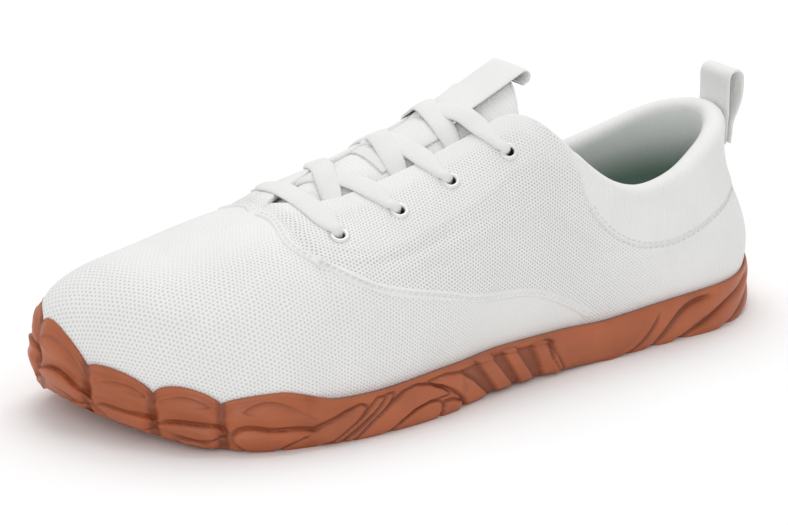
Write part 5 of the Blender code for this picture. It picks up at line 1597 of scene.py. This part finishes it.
# Pull loops
#
# Two lengths of woven tape. One is folded into a standing loop and sewn to the back of the
# heel; the other is sewn down the tongue and folded under past its top edge. Both are bare.

TAB_WIDTH = 20 * MM
LOOP_WIDTH = 17.5 * MM
TAPE_THICKNESS = 1.3 * MM
LOOP_HEIGHT = 12.5 * MM
LOOP_DEPTH = 4.9 * MM
TAB_REACH = 3.2 * MM
LOOP_STEPS, TAB_STEPS, TAB_LAID = 110, 100, 55
INWARD = np.array([-1.0, 0.0, 0.0])
# Section of a tape: share of its width from the middle, share of its thickness
TAPE_SECTION = [
    (0.50, 0.00), (0.485, 0.26), (0.43, 0.42), (0.25, 0.50), (0.0, 0.52), (-0.25, 0.50),
    (-0.43, 0.42), (-0.485, 0.26), (-0.50, 0.00), (-0.485, -0.26), (-0.43, -0.42), (-0.25, -0.50),
    (0.0, -0.50), (0.25, -0.50), (0.43, -0.42), (0.485, -0.26),
]


def woven_group():
    """Shader group: fine herringbone of a woven tape, from flat cloth coordinates."""
    group, inside, out, calc = new_group("woven_tape", ["Cloth", "Pitch"], ["Height", "Shade"])
    split = group.nodes.new("ShaderNodeSeparateXYZ")
    group.links.new(inside["Cloth"], split.inputs[0])
    u = calc("DIVIDE", split.outputs[0], inside["Pitch"])
    v = calc("DIVIDE", split.outputs[1], inside["Pitch"])
    zigzag = calc("ABSOLUTE", calc("SUBTRACT", calc("FRACT", calc("DIVIDE", v, 3.2)), 0.5))
    slant = calc("ADD", u, calc("MULTIPLY", zigzag, 3.0))
    twill = calc("ABSOLUTE", calc("SINE", calc("MULTIPLY", slant, math.pi)))
    height = calc("POWER", twill, 0.7)
    shade = calc("ADD", calc("MULTIPLY", height, 0.10), 0.90)
    group.links.new(height, out["Height"])
    group.links.new(shade, out["Shade"])
    return group


woven_tape = woven_group()


def tape_material(name, colour, pitch, strength):
    """Woven tape, with painted shade that makes it a little darker between its yarns."""
    finish, shader = new_material(name, colour, 0.8, sheen=0.1)
    weave = cloth_pattern(finish, woven_tape, pitch)
    # Painted shade: the tape darkens where its weave lies low
    dark = tuple(c * 0.86 for c in colour)
    tone(finish, shader, mix_colours(finish, dark, colour, weave.outputs["Shade"]), 60, 0.97)
    bump(finish, shader, weave.outputs["Height"], strength, 0.25 * MM)
    return finish


tape_white = tape_material("tape_white", (0.80, 0.80, 0.785), 1.1 * MM, 0.35)


class TapeWork:
    """Gathers closed lengths of tape into one piece."""

    def __init__(self):
        self.points, self.faces, self.cloth = [], [], []

    def add(self, centres, across, widths, thicknesses, bow=0.0):
        """A length of tape along its centre line; its edges bow down by a share of its width."""
        widths, thicknesses, bow = (np.broadcast_to(v, len(centres)) for v in (widths, thicknesses, bow))
        travel = unit(np.gradient(centres, axis=0))
        across = unit(across - travel * (across * travel).sum(1)[:, None])
        normals = np.cross(across, travel)
        run = run_of(centres)
        start, size = len(self.points), len(TAPE_SECTION)
        for k, centre in enumerate(centres):
            for x, z in TAPE_SECTION:
                lift = z * thicknesses[k] - bow[k] * widths[k] * (2 * x) ** 2
                self.points.append(centre + across[k] * x * widths[k] + normals[k] * lift)
                self.cloth.append((run[k], x * widths[k]))
        self.faces += face_grid(len(centres), size, start, True)
        self.faces.append([start + k for k in range(size)][::-1])
        self.faces.append([start + (len(centres) - 1) * size + k for k in range(size)])

    def finish(self, name, material):
        thing = mesh_object(name, self.points, self.faces, [material])
        lay_cloth(thing, np.array(self.cloth)[corner_points(thing)])
        face_outward(thing)
        return thing


def resample(nodes, count):
    """Evenly spaced points on a smooth curve through the given ones."""
    lengths = run_of(nodes)
    return spline(lengths, nodes, np.linspace(0, lengths[-1], count))


def hairpin(front, turn_centre, turn_radius, back):
    """Path of a folded tape: up the front run, round the fold and down the back run."""
    first = front[-1] - turn_centre
    start = math.atan2(first[2], first[1])
    arc = []
    for share in np.linspace(0, 1, 10)[1:-1]:
        angle = start - math.pi * share
        arc.append(turn_centre + turn_radius * np.array([0, math.cos(angle), math.sin(angle)]))
    return np.array(list(front) + arc + list(back))


# Heel loop: up the back of the collar, over, and down outside it
rises = np.linspace(0.84, 1.0, 7)
seat = upper_skin(np.zeros(7), rises) + upper_normal(np.zeros(7), rises) * (GAP + TAPE_THICKNESS / 2)
seat[:, 0] = 0
loop_top = COLLAR_HEIGHT + LOOP_HEIGHT - LOOP_DEPTH / 2 - TAPE_THICKNESS
climb = np.linspace(0, 1, 5)[1:, None]
front = np.concatenate([seat, seat[-1] + climb * np.array([0, 0, loop_top - seat[-1, 2]])])
radius = (LOOP_DEPTH + TAPE_THICKNESS) / 2
rear = []
for share in np.linspace(0, 1, 9):
    level = loop_top + (seat[0, 2] - loop_top) * share
    beside_front = np.interp(level, front[:, 2], front[:, 1])
    spread = 2 * radius * (1 - smoothstep(0.15, 1.0, share))
    rear.append([0, beside_front + max(spread, TAPE_THICKNESS + 2 * GAP), level])
turn_centre = front[-1] + np.array([0, radius, 0])
loop_path = resample(hairpin(front, turn_centre, radius, np.array(rear)), LOOP_STEPS)
near_end = np.minimum(np.arange(LOOP_STEPS), np.arange(LOOP_STEPS)[::-1])
loop_path[:, 1] -= 0.9 * MM * (1 - smoothstep(0, 9, near_end))
loop_thick = TAPE_THICKNESS * (0.35 + 0.65 * smoothstep(0, 9, near_end))
loop_work = TapeWork()
loop_work.add(loop_path, INWARD, LOOP_WIDTH, loop_thick, 0.012)
heel_loop = loop_work.finish("heel_loop", tape_white)
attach(heel_loop, "root")
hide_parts("heel_pull_loop")

# Tongue's tab: up the middle of the tongue, past its top edge and folded under
middle = coarse.shape[1] // 2
coarse_normal = unit(np.cross(np.gradient(coarse, axis=1), np.gradient(coarse, axis=0)))
coarse_normal *= np.sign(coarse_normal[..., 2:].mean())
seat = coarse[-7:, middle] + coarse_normal[-7:, middle] * (1.2 * GAP + TAPE_THICKNESS / 2)
seat[-1] -= unit(seat[-1] - seat[-3]) * 2.0 * MM
seat[:, 0] = coarse[-1, middle, 0]
travel = unit(seat[-1] - seat[-3])
front = np.concatenate([seat, seat[-1] + travel * np.linspace(0, TAB_REACH, 5)[1:, None]])
radius = TONGUE_THICKNESS / 2
under = np.array([0, travel[2], -travel[1]])
home = np.linspace(0, TAB_REACH - TAPE_THICKNESS - GAP, 4)[:, None]
tab_back = front[-1] + under * 2 * radius - travel * home
tab_path = resample(hairpin(front, front[-1] + under * radius, radius, tab_back), TAB_STEPS)
tab_work = TapeWork()
tab_work.add(tab_path, INWARD, TAB_WIDTH, TAPE_THICKNESS)
tab_up = unit(np.cross(INWARD, travel))
tab_up *= np.sign(tab_up[2])
for k in range(TAB_LAID):
    lies = 1 - smoothstep(0.34, 0.54, k / (TAB_STEPS - 1))
    thickness = TAPE_THICKNESS * (0.5 + 0.5 * smoothstep(0, 5, k))
    for n, (x, z) in enumerate(TAPE_SECTION, k * len(TAPE_SECTION)):
        point = tab_work.points[n]
        hit = first_hit(tongue_tree, point, tab_up, 12 * MM, 30 * MM)
        if hit is not None:
            resting = hit + tab_up * (z + 0.55) * thickness
            tab_work.points[n] = point + (resting - point) * lies
tongue_tab = tab_work.finish("tongue_tab", tape_white)
tab_tree = tree_of(tongue_tab)
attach(tongue_tab, "root")
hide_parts("tongue_pull_tab")


# Lace
#
# Flat woven lace: a bar over the lowest pair of eyelets, then it crosses over the tongue and
# goes down through each next eyelet from above. Its ends stop hidden under the top eyelets.

LACE_WIDTH = 8 * MM
LACE_THICKNESS = 1.2 * MM
LACE_BOW = 3 * MM
LACE_BACK = 0.013                # stations from an eyelet to where its lace comes out again
BAR_STEPS, CROSS_STEPS = 90, 80
# Way of a strand over the ring's edge and down its hole, in millimetres out and up
DIVE = [(2.7, 1.75), (1.7, 1.55), (0.95, 0.9), (0.75, -0.4), (0.75, -2.2), (0.75, -3.6)]


def draped(line, ups, across, width):
    """Line lifted along its ups to lie on what is under it, spanning the hollows."""
    lifts = []
    for point, up, side in zip(line, ups, across):
        best = -20 * MM
        for shift in (-0.42, -0.2, 0.0, 0.2, 0.42):
            for tree in (upper_tree, tongue_tree, tab_tree):
                hit = first_hit(tree, point + side * width * shift, up, 15 * MM, 40 * MM)
                if hit is not None:
                    best = max(best, float((hit - point) @ up))
        lifts.append(best)
    lifts = np.array(lifts)
    for _ in range(26):
        lifts[1:-1] = np.maximum(lifts[1:-1], (lifts[:-2] + lifts[2:]) / 2)
    return line + ups * eased(lifts, 3)[:, None]


def dive(seat, come):
    """Last stretch of a strand: over the ring's edge and down through its hole."""
    centre, normal = seat
    return [centre - come * out * MM + normal * height * MM for out, height in DIVE]


def strand(start, end_seat, over, bow=0.0):
    """Centre line and sideways directions of one visible length of lace."""
    centre, normal = end_seat
    come = unit((centre - start[0]) - normal * ((centre - start[0]) @ normal))
    stop = centre - come * 5.0 * MM
    share = np.linspace(0, 1, 30)[:, None]
    line = start[0] + (stop - start[0]) * share
    line = line + np.array([0, 1.0, 0]) * bow * np.sin(math.pi * share**1.1)
    ups = unit(start[1] + (normal - start[1]) * share)
    side = unit(np.cross(stop - start[0], start[1] + normal))
    line = draped(line, ups, np.tile(side, (30, 1)), LACE_WIDTH)
    line = line + ups * (LACE_THICKNESS / 2 + 0.15 * MM)
    if over is not None:
        near = np.linalg.norm(line - over, axis=1)
        line = line + ups * (1.5 * MM * np.exp(-((near / (6.5 * MM)) ** 2)))[:, None]
    return line, side, come


def exit_place(side, row):
    """Where the lace comes out from under the eyestay's edge, and where it lies hidden."""
    station = side * (EYELETS[row][0] - LACE_BACK)
    edge = upper_point(station, 1.0)
    way = unit(upper_point(-station, 1.0) - edge)
    up = unit(np.array([0.0, -0.35, 1.0]))
    hidden = edge - way * 3.0 * MM - upper_normal(np.array(station), np.array(0.97)) * (WALL + 0.9 * MM)
    return (edge + way * 2.2 * MM, up), hidden


lace_white = tape_material("lace_white", (0.80, 0.80, 0.79), 0.9 * MM, 0.35)
lace_work = TapeWork()


def lay_lace(nodes, side, count, pinch, share=1.0):
    """A strand of lace that narrows and thickens where it is pinched into an eyelet."""
    width = LACE_WIDTH * (0.46 + 0.54 * pinch) * share
    thickness = LACE_THICKNESS * (1.5 - 0.5 * pinch)
    lace_work.add(resample(nodes, count), side, width, thickness, 0.12 - 0.08 * pinch)


# Bar over the lowest pair
outer_seat, inner_seat = seats[(1, 0)], seats[(-1, 0)]
toward = unit(outer_seat[0] - inner_seat[0])
first = inner_seat[0] + toward * 5.0 * MM
line, side, come = strand((first, inner_seat[1]), outer_seat, None)
nodes = dive(inner_seat, -toward)[::-1] + list(line) + dive(outer_seat, come)
ends = np.minimum(np.arange(BAR_STEPS), np.arange(BAR_STEPS)[::-1]) / (BAR_STEPS - 1)
lay_lace(nodes, side, BAR_STEPS, smoothstep(0.05, 0.24, ends))

# Three crossings: the outer side's strand lies over the inner side's
share = np.linspace(0, 1, CROSS_STEPS)
pinch = 1 - smoothstep(0.66, 0.90, share)
leave = 0.75 + 0.25 * smoothstep(0.0, 0.2, share)
for row in range(3):
    starts = {s: exit_place(s, row) for s in (1, -1)}
    lines = {s: strand(starts[s][0], seats[(-s, row + 1)], None, LACE_BOW) for s in (1, -1)}
    gaps = np.linalg.norm(lines[1][0][:, None] - lines[-1][0][None], axis=2)
    i, k = np.unravel_index(np.argmin(gaps), gaps.shape)
    crossing = (lines[1][0][i] + lines[-1][0][k]) / 2
    lines[1] = strand(starts[1][0], seats[(-1, row + 1)], crossing, LACE_BOW)
    for s in (1, -1):
        line, side, come = lines[s]
        nodes = [starts[s][1]] + list(line) + dive(seats[(-s, row + 1)], come)
        lay_lace(nodes, side, CROSS_STEPS, pinch, leave)
        centre, normal = seats[(s, row)]
        hidden = starts[s][1]
        under = [centre - normal * 3.4 * MM, (centre + hidden) / 2 - normal * 3.3 * MM, hidden]
        lace_work.add(resample(under, 12), np.array([0.0, 1.0, 0.0]), 3 * MM, 0.5 * MM)
lace = lace_work.finish("flat_lace", lace_white)
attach(lace, "root")
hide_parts("lace_bar", "lace_cross_1", "lace_cross_2", "lace_cross_3")


# Stitches
#
# Lockstitches of white polyester thread along the welts and the collar's seam.
# Each is a short bead of thread pulled into the knit.

for side in (1, -1):
    station = side * np.linspace(0.02, 0.345, 90)
    rise = collar_line(station)
    travel, across = across_of(station, rise, side)
    for distance in (-1.0 * MM, 1.0 * MM):
        stitch_line(station, rise, across, distance, 0.05 * MM, 2.6 * MM)
THREAD_LIGHT, THREAD_DARK = (0.78, 0.78, 0.77), (0.66, 0.66, 0.65)
thread, thread_shader = new_material("white_thread", THREAD_LIGHT, 0.6)
place = thread.node_tree.nodes.new("ShaderNodeTexCoord")
twist = thread.node_tree.nodes.new("ShaderNodeTexWave")
twist.inputs["Scale"].default_value = 1600
thread.node_tree.links.new(place.outputs["Object"], twist.inputs["Vector"])
thread_colour = mix_colours(thread, THREAD_LIGHT, THREAD_DARK, twist.outputs["Fac"])
tone(thread, thread_shader, thread_colour, 80, 0.96)
STITCH_SIZE = (2.0 * MM, 0.5 * MM, 0.34 * MM)
# Bead one unit across: four rings of six points, then its two ends
bead_points = []
for fall in np.linspace(0, math.pi, 6)[1:-1]:
    for turn in np.radians([90, 150, 210, 270, 330, 390]):
        flat = 0.5 * math.sin(fall)
        bead_points.append((flat * math.cos(turn), flat * math.sin(turn), 0.5 * math.cos(fall)))
bead_points += [(0, 0, 0.5), (0, 0, -0.5)]
bead_faces = face_grid(4, 6, 0, True, True)
for k in range(6):
    m = (k + 1) % 6
    bead_faces += [[24, k, m], [25, 18 + m, 18 + k]]
bead = mesh_object("bead", bead_points, bead_faces, [])
stitches = repeated("stitches", stitch_places, stitch_runs, stitch_faces, bead, STITCH_SIZE, thread)
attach(stitches, "root")


# Camera, floor and light
#
# The camera stands where the photograph was taken from, on the outer side ahead of the foot.
# A flat white floor under a white world, with one large soft light and a fill.

CAMERA_AZIMUTH, CAMERA_ELEVATION, CAMERA_DISTANCE = 57.3, 19.03, 1.0
CAMERA_TARGET = Vector((0, 0, 0.040))
PHOTO_WIDTH, PHOTO_HEIGHT = 788, 525
FOCAL_PIXELS = 2821.55
TARGET_PIXEL = (425.4, 252.53)
azimuth, elevation = math.radians(CAMERA_AZIMUTH), math.radians(CAMERA_ELEVATION)
level = math.cos(elevation)
back = Vector((math.sin(azimuth) * level, -math.cos(azimuth) * level, math.sin(elevation)))
camera_data = bpy.data.cameras.new("camera")
camera_data.sensor_width = 36
camera_data.lens = FOCAL_PIXELS * camera_data.sensor_width / PHOTO_WIDTH
camera_data.shift_x = (PHOTO_WIDTH / 2 - TARGET_PIXEL[0]) / PHOTO_WIDTH
camera_data.shift_y = (TARGET_PIXEL[1] - PHOTO_HEIGHT / 2) / PHOTO_WIDTH
camera_data.clip_start = 0.01
camera = new_object("camera", camera_data)
camera.location = CAMERA_TARGET + back * CAMERA_DISTANCE
camera.rotation_euler = (-back).to_track_quat("-Z", "Y").to_euler()
bpy.context.scene.camera = camera

floor_white, _ = new_material("floor_white", (0.95, 0.95, 0.95), 0.9)
floor_corners = [(-6, -6, 0), (6, -6, 0), (6, 6, 0), (-6, 6, 0)]
floor = mesh_object("floor", floor_corners, [[0, 1, 2, 3]], [floor_white])

# Lights: name, place, what it points at, size in metres, power in watts
LIGHTS = [
    ("overhead", (-0.42, 0.28, 1.25), (0, 0, 0.03), 1.0, 7.5),
    ("front_fill", (1.3, -1.0, 0.8), (0, 0, 0.05), 1.0, 5),
]
for name, place_of, target, size, power in LIGHTS:
    lamp = bpy.data.lights.new(name, "AREA")
    lamp.size = size
    lamp.energy = power
    stand = new_object(name, lamp)
    stand.location = place_of
    stand.rotation_euler = (Vector(target) - Vector(place_of)).to_track_quat("-Z", "Y").to_euler()
world = bpy.data.worlds.new("studio")
world.use_nodes = True
background = world.node_tree.nodes["Background"]
background.inputs["Color"].default_value = (1, 1, 1, 1)
background.inputs["Strength"].default_value = 0.72
bpy.context.scene.world = world
bpy.context.scene.view_settings.view_transform = "Standard"
